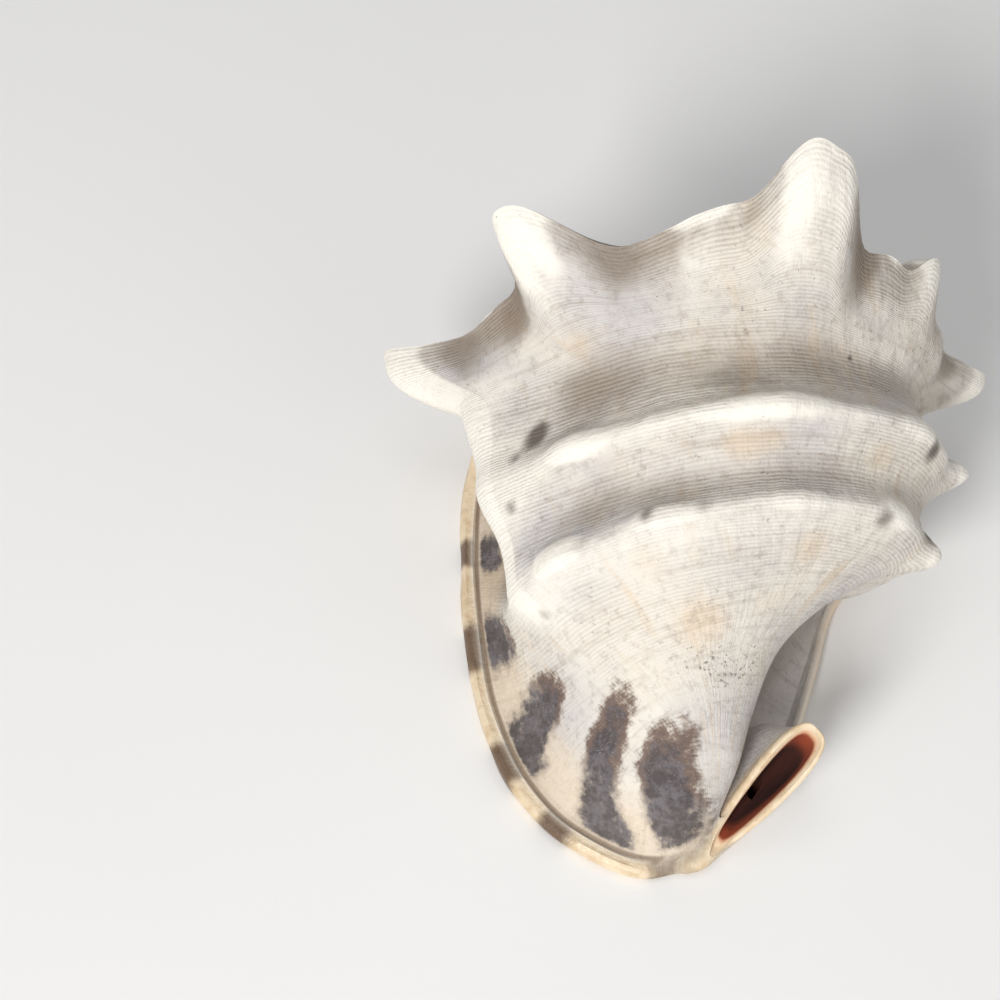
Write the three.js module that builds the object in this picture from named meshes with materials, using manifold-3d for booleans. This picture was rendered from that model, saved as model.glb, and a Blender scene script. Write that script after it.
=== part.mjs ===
// Horned helmet shell, a large sea snail's shell lying on its aperture.
// Millimetres, +Z up. The spire points to +Y, the outer lip lies on -X, the siphonal canal is at the front.
import * as THREE from 'three';
import { mergeVertices } from 'three/addons/utils/BufferGeometryUtils.js';
import Module from 'manifold-3d';

// ---- driving dimensions ----------------------------------------------------------------------
const COIL_TILT = THREE.MathUtils.degToRad(12); // the coiling axis rises this much towards the spire
const COIL_LIFT = 38; // height of the coiling axis over the table at its zero mark
const GROWTH = 0.107; // the whorl grows by exp(GROWTH) for each radian of coiling
const FLARE = 0.035; // extra growth, by the square of the angle, where the last half whorl nears the lip
const KEEL_RADIUS = 83; // shoulder keel, from the coiling axis, on the back of the shell
const KEEL_AXIAL = 180; // shoulder keel, along the coiling axis
const KEEL = 0.2; // station of the shoulder keel
const LIP_BEAD = 4; // radius of the rolled edge of the outer lip
const SHIELD_BEAD = 2.2; // radius of the edge of the inner lip's shield
const SPIRE_HEIGHT = 18; // height of the spire's tip over the plane of the last keel
const SPIRE_DIP = 5; // depth of the hollow between the keel and the suture, on the last whorl
const HORN_SWELL = 0.5; // how much a horn thickens what it is drawn out of
const REST_PLANE = 4.8; // the worn face that the shell rests on, over the model's zero

// ---- what the mesh is made of ----------------------------------------------------------------
const ARC_STEPS = 44;
const LIP_STEPS = 8;
const BEAD_STEPS = 4;
const FACE_STEPS = 9;
const HOLLOW_STEPS = 5;
const OVAL_STEPS = 20;
const POSTERIOR_ROWS = [0.05, 0.12, 0.2, 0.28, 0.37, 0.46, 0.55, 0.65, 0.75, 0.84, 0.92];
const FINE_END = 0.6; // stations are closer together on the knobbed part of the whorl
const FINE_STEP = 0.02;
const COARSE_STEP = 0.0308;
const SLIVER = 0.02; // corners closer than this are one corner

// ---- the whorl, station by station, from the keel to the front end -----------------------------
// station, radius, axial place, axial drift and its bend per radian, centre across and up,
// angle where the whorl leaves the shield (right) and where it turns into the outer lip (left)
const WHORL = [
  [0.2, KEEL_RADIUS, KEEL_AXIAL, -5, -2.5, 1, 0, 125, -95], // shoulder keel
  [0.24, 78, 165, -3, -1.5, 4, 0, 126, -90],
  [0.31, 67.5, 147, 0, 0, 7, 0, 126, -84], // first waist
  [0.37, 71.5, 130.5, 2, 0, 9, 0, 125, -84],
  [0.41, 77, 122, 3, 0, 9, 0, 124, -84], // second row of knobs
  [0.5, 67, 99.5, 4.5, -0.6, 6, 0, 124, -82], // second waist
  [0.54, 71.3, 87.7, 6, -1.6, 3, 0, 125, -80], // third row of knobs
  [0.58, 67.5, 80, 6.5, -1, -1, 0, 127, -76],
  [0.64, 56, 69, 9, 0, -4, 0, 130, -72],
  [0.71, 42, 57, 10, 0, -10, 1, 135, -65],
  [0.79, 29, 43, 8, 0, -16, 2, 140, -55],
  [0.87, 19, 26, 3, 0, -18, 2, 140, -40], // neck
  [0.93, 13, 12, 0, 0, -18, -3, 135, -30],
  [0.97, 8, 2, 0, 0, -18, -13, 130, -20],
  [1.0, 4, -8, 0, 0, -20, -24, 120, -20],
];

// station and x, y, z of the outer edge of the outer lip
const LIP_RIM = [
  [0.2, -98, 176, 26],
  [0.28, -104, 166, 13],
  [0.36, -107.5, 153, 8.5],
  [0.46, -109, 124, 8],
  [0.58, -106.5, 86, 8],
  [0.69, -100.5, 49.5, 8],
  [0.79, -86, 16, 8],
  [0.87, -67, -4, 8],
  [0.93, -43, -16, 8],
  [0.97, -28, -16, 8],
  [1.0, -16, -11, 9],
];

// station and x, y, z of the free edge of the shield
const SHIELD_RIM = [
  [0.2, 40, 176, 24],
  [0.28, 52, 172, 10],
  [0.38, 57, 148, 6.5],
  [0.5, 48, 116, 6.5],
  [0.6, 37, 96, 7.5],
  [0.7, 30, 73, 8.5],
  [0.8, 22.5, 49, 10],
  [0.87, 16, 30, 11],
  [0.93, 8, 12, 11],
  [0.97, -3, -2, 9],
  [1.0, -14, -9, 9],
];

// horns and knobs: angle, station, reach out from the axis and towards the spire,
// half widths towards the lip and away from it, half width across the growth, bluntness
const HORNS = [
  [-97, 0.2, 31, 5, 34, 13, 19, 2],
  [-50, 0.2, 28, 16, 16, 17, 17, 3],
  [12, 0.2, 33, 22, 16, 15, 18, 3.4],
  [-4, 0.2, 14, 10, 34, 18, 17, 2],
  [36, 0.2, 6, 9, 18, 16, 13, 2],
  [52, 0.2, 10, 15, 9, 9, 11, 2.4],
  [68, 0.2, 5, 1, 12, 12, 12, 2],
  [86, 0.2, 21, -2, 9, 9, 11, 2],
  [113, 0.2, 13, 0, 9, 9, 9, 2],
  [-4, 0.41, 5, 0, 22, 16, 8, 2],
  [-58, 0.41, 4, 0, 14, 14, 8, 2],
  [45, 0.41, 3, 0, 12, 12, 8, 2],
  [88, 0.41, 8, 0, 8, 8, 7, 2.6],
  [-31, 0.54, 2.5, 0, 12, 12, 7, 2],
  [-62, 0.54, 3.5, 0, 12, 12, 7, 2],
  [8, 0.54, 2, 0, 12, 12, 7, 2],
  [45, 0.54, 2.5, 0, 10, 10, 7, 2],
  [88, 0.55, 4, -1, 8, 8, 7, 2.4],
];

// the thick ridge down the left side, from the first horn: station, angle and how far it stands out
const VARIX = [
  [0.2, -97, 0],
  [0.25, -93, 14],
  [0.31, -89, 27],
  [0.37, -87, 20],
  [0.41, -86, 13],
  [0.5, -83, 15],
  [0.54, -81, 5],
  [0.58, -78, 3],
  [0.64, -72, 1],
  [0.71, -65, 0],
  [1.0, -20, 0],
];
const VARIX_LIP_WIDE = 13; // half width towards the lip
const VARIX_OLD_WIDE = 27; // half width towards the back of the shell
const VARIX_DEPTH = 48; // how far from its crest the ridge has any effect

// ---- small tools -----------------------------------------------------------------------------
const UP = new THREE.Vector3(0, 0, 1);
const vec = (x, y, z) => new THREE.Vector3(x, y, z);
const radians = THREE.MathUtils.degToRad;
const ramp = THREE.MathUtils.smoothstep;
const mixed = (a, b, t) => a.clone().lerp(b, t);

// A smooth curve through rows of [knot, values...], with slopes from the neighbours on each side.
function along(rows, knot) {
  const last = rows.length - 2;
  let i = 0;
  while (i < last && knot >= rows[i + 1][0]) i += 1;
  const slope = (k, column) => {
    const chord = (j) => (rows[j + 1][column] - rows[j][column]) / (rows[j + 1][0] - rows[j][0]);
    if (k === 0) return chord(0);
    if (k === rows.length - 1) return chord(k - 1);
    const before = rows[k][0] - rows[k - 1][0];
    const after = rows[k + 1][0] - rows[k][0];
    return (chord(k - 1) * after + chord(k) * before) / (before + after);
  };
  const span = rows[i + 1][0] - rows[i][0];
  const t = (knot - rows[i][0]) / span;
  const values = [];
  for (let column = 1; column < rows[0].length; column += 1) {
    values.push(
      (2 * t ** 3 - 3 * t ** 2 + 1) * rows[i][column] +
        (t ** 3 - 2 * t ** 2 + t) * span * slope(i, column) +
        (3 * t ** 2 - 2 * t ** 3) * rows[i + 1][column] +
        (t ** 3 - t ** 2) * span * slope(i + 1, column),
    );
  }
  return values;
}

// A cubic from one point and pull to another.
function bridge(from, fromPull, to, toPull, t) {
  return vec(0, 0, 0)
    .addScaledVector(from, 2 * t ** 3 - 3 * t ** 2 + 1)
    .addScaledVector(fromPull, t ** 3 - 2 * t ** 2 + t)
    .addScaledVector(to, 3 * t ** 2 - 2 * t ** 3)
    .addScaledVector(toPull, t ** 3 - t ** 2);
}

// From the coiling axis's own frame (across, along, up) to the table's frame.
function offAxis(across, axial, up) {
  const cos = Math.cos(COIL_TILT);
  const sin = Math.sin(COIL_TILT);
  return vec(across, axial * cos - up * sin, COIL_LIFT + axial * sin + up * cos);
}

// From the table's frame to the coiling axis's own frame.
function onAxis(point) {
  const cos = Math.cos(COIL_TILT);
  const sin = Math.sin(COIL_TILT);
  const z = point.z - COIL_LIFT;
  return { across: point.x, axial: point.y * cos + z * sin, up: z * cos - point.y * sin };
}

// ---- the body whorl ----------------------------------------------------------------------------
const swelling = (angle) => Math.exp(-GROWTH * angle + FLARE * Math.min(angle, 0) ** 2);

function whorlPoint(station, angle) {
  const [radius, axial, drift, bend, across, up] = along(WHORL, station);
  const reach = radius * swelling(angle);
  return offAxis(
    across + reach * Math.sin(angle),
    axial + drift * angle + bend * angle * angle,
    up + reach * Math.cos(angle),
  );
}

// Level direction square to a rim, pointing away from the shell.
function rimOutward(rim, station, side) {
  const [ax, ay] = along(rim, Math.max(station - 0.001, 0));
  const [bx, by] = along(rim, Math.min(station + 0.001, 1));
  return vec(by - ay, ax - bx, 0).normalize().multiplyScalar(side);
}

// Height added to the underside between lip and shield: a shallow trough along the aperture.
const trough = (t) => 5 * Math.exp(-(((t - 0.35) / 0.14) ** 2));

// A section's points, drawn out where the thick ridge crosses it.
function ridged(points, station) {
  const [degrees, out] = along(VARIX, station);
  const angle = radians(degrees);
  const root = whorlPoint(station, angle);
  const growing = whorlPoint(station, angle - 0.001).sub(root).normalize();
  const outward = offAxis(Math.sin(angle), 0, Math.cos(angle)).sub(offAxis(0, 0, 0));
  return points.map((point) => {
    const offset = point.clone().sub(root);
    const lengthwise = offset.dot(growing);
    const beside = Math.sqrt(Math.max(offset.lengthSq() - lengthwise ** 2, 0));
    const wide = lengthwise > 0 ? VARIX_LIP_WIDE : VARIX_OLD_WIDE;
    const share = Math.exp(-((lengthwise / wide) ** 2) - (beside / VARIX_DEPTH) ** 4);
    return point.clone().addScaledVector(outward, out * share);
  });
}

// One closed section: over the back, down to the outer lip, across the underside, up the hollow.
function section(station) {
  const row = along(WHORL, station);
  const right = radians(row[6]);
  const left = radians(row[7]);
  const nudge = 0.001;
  const points = [];
  for (let i = 0; i <= ARC_STEPS; i += 1) {
    points.push(whorlPoint(station, right + ((left - right) * i) / ARC_STEPS));
  }
  const lipOut = rimOutward(LIP_RIM, station, 1);
  const shieldOut = rimOutward(SHIELD_RIM, station, -1);
  const lipCore = vec(...along(LIP_RIM, station)).addScaledVector(lipOut, -LIP_BEAD);
  const shieldCore = vec(...along(SHIELD_RIM, station)).addScaledVector(shieldOut, -SHIELD_BEAD);
  const onBead = (core, out, radius, turn) =>
    core.clone().addScaledVector(out, radius * Math.cos(turn)).addScaledVector(UP, radius * Math.sin(turn));

  const lipTurn = 0.6 * Math.PI;
  const lipTop = onBead(lipCore, lipOut, LIP_BEAD, lipTurn);
  const leaving = whorlPoint(station, left);
  const lipReach = leaving.distanceTo(lipTop);
  const leavingPull = whorlPoint(station, left - nudge).sub(leaving).normalize().multiplyScalar(1.1 * lipReach);
  const lipPull = lipOut.clone().multiplyScalar(0.9).addScaledVector(UP, 0.25).multiplyScalar(0.6 * lipReach);
  for (let i = 1; i <= LIP_STEPS; i += 1) {
    points.push(bridge(leaving, leavingPull, lipTop, lipPull, i / LIP_STEPS));
  }
  for (let i = 1; i <= BEAD_STEPS; i += 1) {
    points.push(onBead(lipCore, lipOut, LIP_BEAD, lipTurn + ((-0.5 * Math.PI - lipTurn) * i) / BEAD_STEPS));
  }
  const lipFoot = onBead(lipCore, lipOut, LIP_BEAD, -0.5 * Math.PI);
  const shieldFoot = onBead(shieldCore, shieldOut, SHIELD_BEAD, -0.5 * Math.PI);
  for (let i = 1; i <= FACE_STEPS; i += 1) {
    const t = i / FACE_STEPS;
    points.push(mixed(lipFoot, shieldFoot, t).addScaledVector(UP, trough(t)));
  }
  const shieldTurn = 0.62 * Math.PI;
  for (let i = 1; i <= BEAD_STEPS; i += 1) {
    const turn = -0.5 * Math.PI + ((shieldTurn + 0.5 * Math.PI) * i) / BEAD_STEPS;
    points.push(onBead(shieldCore, shieldOut, SHIELD_BEAD, turn));
  }
  const shieldTop = onBead(shieldCore, shieldOut, SHIELD_BEAD, shieldTurn);
  const arriving = whorlPoint(station, right);
  const hollowReach = arriving.distanceTo(shieldTop);
  const arrivingPull = arriving.clone().sub(whorlPoint(station, right + nudge)).normalize();
  const shieldPull = UP.clone().multiplyScalar(0.2).sub(shieldOut);
  for (let i = 1; i < HOLLOW_STEPS; i += 1) {
    const t = i / HOLLOW_STEPS;
    const pull = 0.9 * hollowReach;
    const from = shieldPull.clone().multiplyScalar(pull);
    points.push(bridge(shieldTop, from, arriving, arrivingPull.clone().multiplyScalar(pull), t));
  }
  return ridged(points, station);
}

// ---- the spire end -----------------------------------------------------------------------------
const WHORL_RATIO = 2 * Math.PI * GROWTH; // logarithm of the growth in one whole turn
const LIP_END = radians(-126); // where the last whorl ends at the outer lip

// Height of the stepped spire over the keel's plane, at a radius and angle about the axis.
// Each keel lies on a cone. The face dips behind it, and climbs a short wall to the keel before it.
function spireHeight(radius, angle) {
  const turned = angle < LIP_END ? angle + 2 * Math.PI : angle;
  const keelHere = KEEL_RADIUS * Math.exp(-GROWTH * turned);
  const whorls = Math.max(0, Math.log(keelHere / radius) / WHORL_RATIO);
  const whole = Math.floor(whorls);
  const part = whorls - whole;
  const outerKeel = keelHere * Math.exp(-WHORL_RATIO * whole);
  const innerKeel = outerKeel * Math.exp(-WHORL_RATIO);
  const cone = (keel) => SPIRE_HEIGHT * (1 - keel / KEEL_RADIUS);
  const dip = SPIRE_DIP * Math.sin(Math.PI * Math.min(part / 0.86, 1)) * (outerKeel / KEEL_RADIUS);
  return cone(outerKeel) + (cone(innerKeel) - cone(outerKeel)) * ramp(part, 0.8, 1) - dip;
}

// The keel's section as angles that always turn one way and radii without the beads.
function evenSection(keelRing) {
  const polar = keelRing.map((point) => {
    const { across, up } = onAxis(point);
    return { angle: Math.atan2(across, up), radius: Math.hypot(across, up) };
  });
  let lowest = Infinity;
  const running = polar.map(({ angle }, i) => {
    const turns = i > ARC_STEPS && angle > 0 ? angle - 2 * Math.PI : angle;
    lowest = Math.min(lowest - 0.004, turns);
    return lowest;
  });
  const count = keelRing.length;
  const spread = 3;
  return keelRing.map((_, i) => {
    let angle = 0;
    let radius = 0;
    for (let k = -spread; k <= spread; k += 1) {
      const j = (i + k + count) % count;
      const wrapped = i + k < 0 ? 2 * Math.PI : i + k >= count ? -2 * Math.PI : 0;
      angle += (running[j] + wrapped) / (2 * spread + 1);
      radius += polar[j].radius / (2 * spread + 1);
    }
    return { angle, radius, own: polar[i] };
  });
}

// One ring of the spire end: the keel's section drawn in towards the axis, and evened on the way.
function spireRing(keelRing, share) {
  const held = ramp(share, 0.8, 1);
  return evenSection(keelRing).map(({ angle, radius, own }, i) => {
    const turns = Math.round((angle - own.angle) / (2 * Math.PI)) * 2 * Math.PI;
    const turn = angle + (own.angle + turns - angle) * held;
    const reach = (radius + (own.radius - radius) * held) * share;
    const stepped = KEEL_AXIAL + spireHeight(Math.max(reach, 1), Math.atan2(Math.sin(turn), Math.cos(turn)));
    const axial = onAxis(keelRing[i]).axial * held + stepped * (1 - held);
    return offAxis(reach * Math.sin(turn), axial, reach * Math.cos(turn));
  });
}

// ---- horns and knobs ---------------------------------------------------------------------------
const axisPoint = offAxis(0, 0, 0);
const spireWards = offAxis(0, 1, 0).sub(axisPoint);
const hornList = HORNS.map(([degrees, station, out, back, lipWide, oldWide, across, bluntness]) => {
  const angle = radians(degrees);
  const root = whorlPoint(station, angle);
  const growing = whorlPoint(station, angle - 0.001).sub(root).normalize();
  const outward = offAxis(Math.sin(angle), 0, Math.cos(angle)).sub(axisPoint);
  const reach = outward.multiplyScalar(out).addScaledVector(spireWards, back);
  return { root, station, growing, reach, lipWide, oldWide, across, bluntness };
});

// Draws a point out by each horn near it. A horn is broader on its spire side.
function horned(point, spireSide) {
  const moved = point.clone();
  for (const horn of hornList) {
    const offset = point.clone().sub(horn.root);
    const lengthwise = offset.dot(horn.growing);
    const crosswise = Math.sqrt(Math.max(offset.lengthSq() - lengthwise ** 2, 0));
    const wide = lengthwise > 0 ? horn.lipWide : horn.oldWide;
    const across = spireSide ? horn.across * 1.3 : horn.across;
    const share = Math.exp(-((Math.abs(lengthwise) / wide) ** horn.bluntness) - (crosswise / across) ** 3);
    moved.addScaledVector(horn.reach, share);
    if (horn.station === KEEL) {
      offset.addScaledVector(horn.growing, -lengthwise);
      moved.addScaledVector(offset, HORN_SWELL * share);
    }
  }
  return moved;
}

// ---- closed solids -----------------------------------------------------------------------------
const wasm = await Module();
wasm.setup();

// A closed solid through rings of the same count, closed to a point at each end.
function loft(rings) {
  const count = rings[0].length;
  const middle = (ring) => ring.reduce((sum, p) => sum.add(p), vec(0, 0, 0)).divideScalar(count);
  const points = rings.flat();
  const start = points.push(middle(rings[0])) - 1;
  const end = points.push(middle(rings[rings.length - 1])) - 1;
  const faces = [];
  for (let i = 0; i < count; i += 1) {
    const j = (i + 1) % count;
    const top = (rings.length - 1) * count;
    faces.push([start, j, i], [end, top + i, top + j]);
    for (let ring = 0; ring < rings.length - 1; ring += 1) {
      const a = ring * count + i;
      const b = ring * count + j;
      faces.push([a, b, a + count], [b, b + count, a + count]);
    }
  }
  let volume = 0;
  for (const [a, b, c] of faces) volume += points[a].dot(points[b].clone().cross(points[c]));
  if (volume < 0) faces.forEach((face) => face.reverse());
  return new wasm.Manifold(
    new wasm.Mesh({
      numProp: 3,
      vertProperties: new Float32Array(points.flatMap((p) => [p.x, p.y, p.z])),
      triVerts: new Uint32Array(faces.flat()),
    }),
  );
}

// The whole outside: the spire's rings, then the whorl's sections to the front end.
function bodySolid() {
  const stations = [];
  for (let s = KEEL; s < FINE_END - 1e-6; s += FINE_STEP) stations.push(s);
  for (let s = FINE_END; s < 1.0001; s += COARSE_STEP) stations.push(Math.min(s, 1));
  const sections = stations.map(section);
  const spire = POSTERIOR_ROWS.map((share) => spireRing(sections[0], share));
  const spireRings = spire.map((ring) => ring.map((point) => horned(point, true)));
  const whorlRings = sections.map((ring) => ring.map((point) => horned(point, false)));
  return loft([...spireRings, ...whorlRings]);
}

// ---- the siphonal canal --------------------------------------------------------------------------
const MOUTH = { centre: vec(3, 3.5, 35), long: vec(20, 10.5, 27), short: vec(5.6, -6, -1.8) };
const ROOT = { centre: vec(4, 17, 15), long: vec(15, 8, 4), short: vec(6, -7, -2) };
const ROUNDNESS = 0.62; // below one, the loop is squarer than an ellipse
const HALF_WIDTH = 0.92; // of the short axis, at the middle of the loop
const LOOP_SWELL = 0.3; // how much wider the loop is at its free end, and narrower at the foot
const DRIFT = 0.2; // how far the middle line bends towards the shell
const SKIRT = 1.5; // how much wider the spout is at its root, on the shell's side
const ROOT_STRETCH = 0.2; // how much longer the spout is at its root
const BORE_LONG = { root: 0.74, flare: 0.17 }; // shares of the spout's axes, and what the mouth adds
const BORE_SHORT = { root: 0.42, flare: 0.2 };
const SPOUT = [0, 0.2, 0.4, 0.6, 0.8, 1]; // shares of the way from root to mouth
const BORE = [1.2, 1, 0.75, 0.5, 0.2];

// A ring of the canal. Its middle drifts towards the shell and its half width grows towards the loop.
function canalRing(share, longScale, shortScale, skirt) {
  const centre = mixed(ROOT.centre, MOUTH.centre, share);
  const long = mixed(ROOT.long, MOUTH.long, share);
  const short = mixed(ROOT.short, MOUTH.short, share);
  const ring = [];
  for (let i = 0; i < OVAL_STEPS; i += 1) {
    const turn = (2 * Math.PI * i) / OVAL_STEPS;
    const side = Math.sin(turn);
    const half = (HALF_WIDTH + LOOP_SWELL * Math.cos(turn)) * Math.sign(side) * Math.abs(side) ** ROUNDNESS;
    const wide = half * shortScale * (side < 0 ? 1 + skirt : 1) - DRIFT * (1 + Math.cos(turn));
    ring.push(centre.clone().addScaledVector(long, Math.cos(turn) * longScale).addScaledVector(short, wide));
  }
  return ring;
}

function spout() {
  const ring = (share) => canalRing(share, 1 + ROOT_STRETCH * (1 - share) ** 2, 1, SKIRT * (1 - share) ** 1.8);
  return loft(SPOUT.map(ring));
}

function roundRing(centre, long, short) {
  const turns = Array.from({ length: OVAL_STEPS }, (_, i) => (2 * Math.PI * i) / OVAL_STEPS);
  return turns.map((turn) =>
    centre.clone().addScaledVector(long, Math.cos(turn)).addScaledVector(short, Math.sin(turn)),
  );
}

// The bore goes down the spout, and a passage runs from its foot back to the chamber.
function canalBore() {
  const flared = (axis, share) => axis.root + axis.flare * share;
  const bore = BORE.map((share) => canalRing(share, flared(BORE_LONG, share), flared(BORE_SHORT, share), 0));
  const passage = [
    roundRing(vec(3, 15, 16), vec(3, 4, 0), vec(0, 0, -4.5)),
    roundRing(vec(-10, 26, 17), vec(4, 7, 0), vec(0, 0, -5.5)),
    roundRing(vec(-26, 46, 26), vec(8, 8, 0), vec(0, 0, -8)),
  ];
  return loft(bore).add(loft(passage));
}

// ---- the aperture and the chamber -----------------------------------------------------------------
// x, y, half width and roof height along the slit
const APERTURE = [
  [0, -55, 160, 3, 36],
  [1, -62, 144, 5.5, 42],
  [2, -66, 118, 6.5, 44],
  [3, -65, 90, 6.5, 44],
  [4, -58, 62, 6, 40],
  [5, -45, 38, 5, 32],
  [6, -30, 19, 4, 24],
  [7, -20, 5, 3.5, 19],
  [8, -17, -4, 3, 15],
];

function apertureSlit() {
  const rings = [];
  const end = APERTURE.length - 1;
  for (let knot = 0; knot <= end; knot += 0.5) {
    const [x, y, half, roof] = along(APERTURE, knot);
    const [x1, y1] = along(APERTURE, Math.min(knot + 0.01, end));
    const [x0, y0] = along(APERTURE, Math.max(knot - 0.01, 0));
    const side = vec(y1 - y0, x0 - x1, 0).normalize();
    const profile = [
      [half + 4, -3],
      [half + 3, 6],
      [half + 0.8, 9],
      [half, 12],
      [half, roof - 2],
      [0, roof],
      [-half, roof - 2],
      [-half, 12],
      [-half - 0.8, 9],
      [-half - 3, 6],
      [-half - 4, -3],
    ];
    rings.push(profile.map(([offset, z]) => vec(x, y, z).addScaledVector(side, offset)));
  }
  return loft(rings);
}

const CHAMBER = {
  top: 167, // axial end towards the spire
  foot: 45, // axial end towards the canal, on the back of the shell
  footDrift: 10, // how far that end climbs for each radian towards the older side
  columella: 12, // radius of the pillar in the middle
  neck: 22, // outer radius at the foot
  reach: 61, // outer radius inside the waists
  flare: 0.027, // extra growth towards the lip
  lean: [-8, 7], // how far it stands to the right of the axis, at the foot and above
  rise: 51, // axial length over which it widens
  sides: 16,
  steps: 22,
  start: radians(-122),
  end: radians(190),
};

// Makes a circle's sine or cosine fuller, so that the chamber's section is nearer a box.
const squared = (wave) => Math.sign(wave) * Math.abs(wave) ** 0.8;

// The living chamber: a space that coils round the columella inside the last whorl.
function chamber() {
  const rings = [];
  for (let i = 0; i <= CHAMBER.steps; i += 1) {
    const angle = CHAMBER.start + ((CHAMBER.end - CHAMBER.start) * i) / CHAMBER.steps;
    const scale = Math.exp(-GROWTH * angle + CHAMBER.flare * Math.min(angle, 0) ** 2);
    const foot = CHAMBER.foot + CHAMBER.footDrift * Math.max(angle, 0);
    const ring = [];
    for (let k = 0; k < CHAMBER.sides; k += 1) {
      const turn = (2 * Math.PI * k) / CHAMBER.sides;
      const axial = (CHAMBER.top + foot) / 2 + ((CHAMBER.top - foot) / 2) * squared(Math.cos(turn));
      const widened = ramp(axial, foot, foot + CHAMBER.rise);
      const outer = CHAMBER.neck + (CHAMBER.reach - CHAMBER.neck) * widened;
      const middle = (outer + CHAMBER.columella) / 2;
      const reach = (middle + (outer - middle) * squared(Math.sin(turn))) * scale;
      const lean = CHAMBER.lean[0] + (CHAMBER.lean[1] - CHAMBER.lean[0]) * widened;
      ring.push(offAxis(reach * Math.sin(angle) + lean, axial, reach * Math.cos(angle)));
    }
    rings.push(ring);
  }
  return loft(rings);
}

// A block that takes away all that is under the rest plane.
function underTable() {
  const wide = 200;
  const ring = (z) => [vec(-wide, -wide, z), vec(wide, -wide, z), vec(wide, 2 * wide, z), vec(-wide, 2 * wide, z)];
  return loft([ring(-wide), ring(REST_PLANE)]);
}

// ---- the shell -----------------------------------------------------------------------------------
const hollow = chamber().add(apertureSlit()).add(canalBore());
const solid = bodySolid().add(spout()).subtract(hollow).subtract(underTable());

// A geometry of a solid, moved to stand on zero, with the slivers that cutting leaves closed up.
function standing(manifold) {
  const mesh = manifold.getMesh();
  const raw = new THREE.BufferGeometry();
  raw.setAttribute('position', new THREE.BufferAttribute(new Float32Array(mesh.vertProperties), 3));
  raw.setIndex(new THREE.BufferAttribute(new Uint32Array(mesh.triVerts), 1));
  raw.computeBoundingBox();
  const { min, max } = raw.boundingBox;
  raw.translate(-(min.x + max.x) / 2, -(min.y + max.y) / 2, -min.z);
  const clean = mergeVertices(raw, SLIVER);
  const index = clean.index.array;
  const kept = [];
  for (let i = 0; i < index.length; i += 3) {
    const [a, b, c] = index.slice(i, i + 3);
    if (a !== b && b !== c && c !== a) kept.push(a, b, c);
  }
  clean.setIndex(kept);
  return clean;
}

const geometry = standing(solid);

const shellMaterial = new THREE.MeshStandardMaterial({ color: 0xe2dacb, roughness: 0.55, metalness: 0 });
const shell = new THREE.Mesh(geometry, shellMaterial);
shell.name = 'helmet_shell';

const group = new THREE.Group();
group.add(shell);

export default group;
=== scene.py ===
"""Horned helmet shell: a large sea snail's shell that lies on its aperture.

The outside is one surface of two parameters. Its rows run from the spire's tip over the shoulder keel
to the front end, and its columns run round the shell: over the back, down to the outer lip, across the
underside and up the hollow behind the shield. The siphonal canal is joined on, and the chamber, the
aperture and the canal's bore are cut out. Shapes are worked out in millimetres about the coiling axis and
put into meshes in metres.
"""

import logging
import math
from dataclasses import dataclass, field
from enum import Enum

import bpy
import numpy as np
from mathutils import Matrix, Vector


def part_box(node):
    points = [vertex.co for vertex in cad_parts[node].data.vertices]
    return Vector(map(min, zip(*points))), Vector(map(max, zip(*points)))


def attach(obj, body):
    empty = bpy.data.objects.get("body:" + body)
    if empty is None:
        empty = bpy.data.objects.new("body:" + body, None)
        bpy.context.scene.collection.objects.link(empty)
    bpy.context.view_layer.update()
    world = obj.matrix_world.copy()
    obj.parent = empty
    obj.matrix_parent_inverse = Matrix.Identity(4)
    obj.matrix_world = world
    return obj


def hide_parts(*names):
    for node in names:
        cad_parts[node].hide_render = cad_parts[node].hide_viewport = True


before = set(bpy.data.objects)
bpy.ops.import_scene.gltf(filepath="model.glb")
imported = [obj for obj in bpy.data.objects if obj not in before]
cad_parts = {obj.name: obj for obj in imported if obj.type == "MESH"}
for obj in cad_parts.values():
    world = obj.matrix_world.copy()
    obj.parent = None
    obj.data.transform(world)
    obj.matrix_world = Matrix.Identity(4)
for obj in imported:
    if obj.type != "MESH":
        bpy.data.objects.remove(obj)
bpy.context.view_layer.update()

LOG = logging.getLogger("helmet_shell")
MM = 0.001
NODE = "helmet_shell"

Array = np.ndarray


# ---- curves and small formulas -----------------------------------------------------------------
def ramp(low: float, high: float, value: Array) -> Array:
    """Smooth step: nought below low, one above high, and a cubic with level ends between them.

    Args:
        low: Where the step starts.
        high: Where the step ends.
        value: Places to evaluate.

    Returns:
        Step values from nought to one.
    """
    share = np.clip((np.asarray(value, float) - low) / (high - low), 0.0, 1.0)
    return share * share * (3.0 - 2.0 * share)


def bell(offset: Array, width: float, power: float = 2.0) -> Array:
    """Bell curve: one at nought offset, falling as exp(-(offset / width) ** power)."""
    return np.exp(-((np.abs(offset) / width) ** power))


def hermite(start: Array, start_pull: Array, end: Array, end_pull: Array, share: Array) -> Array:
    """Cubic from one point and pull to another.

    Args:
        start: First points, shape (..., 3).
        start_pull: Pulls out of the first points.
        end: Last points.
        end_pull: Pulls into the last points.
        share: How far along, from nought to one, without the last axis.

    Returns:
        Points on the cubic.
    """
    t = np.asarray(share)[..., None]
    return (
        (2 * t**3 - 3 * t**2 + 1) * start
        + (t**3 - 2 * t**2 + t) * start_pull
        + (3 * t**2 - 2 * t**3) * end
        + (t**3 - t**2) * end_pull
    )


def unit(vectors: Array) -> Array:
    """Vectors scaled to length one."""
    return vectors / (np.linalg.norm(vectors, axis=-1, keepdims=True) + 1e-12)


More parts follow.
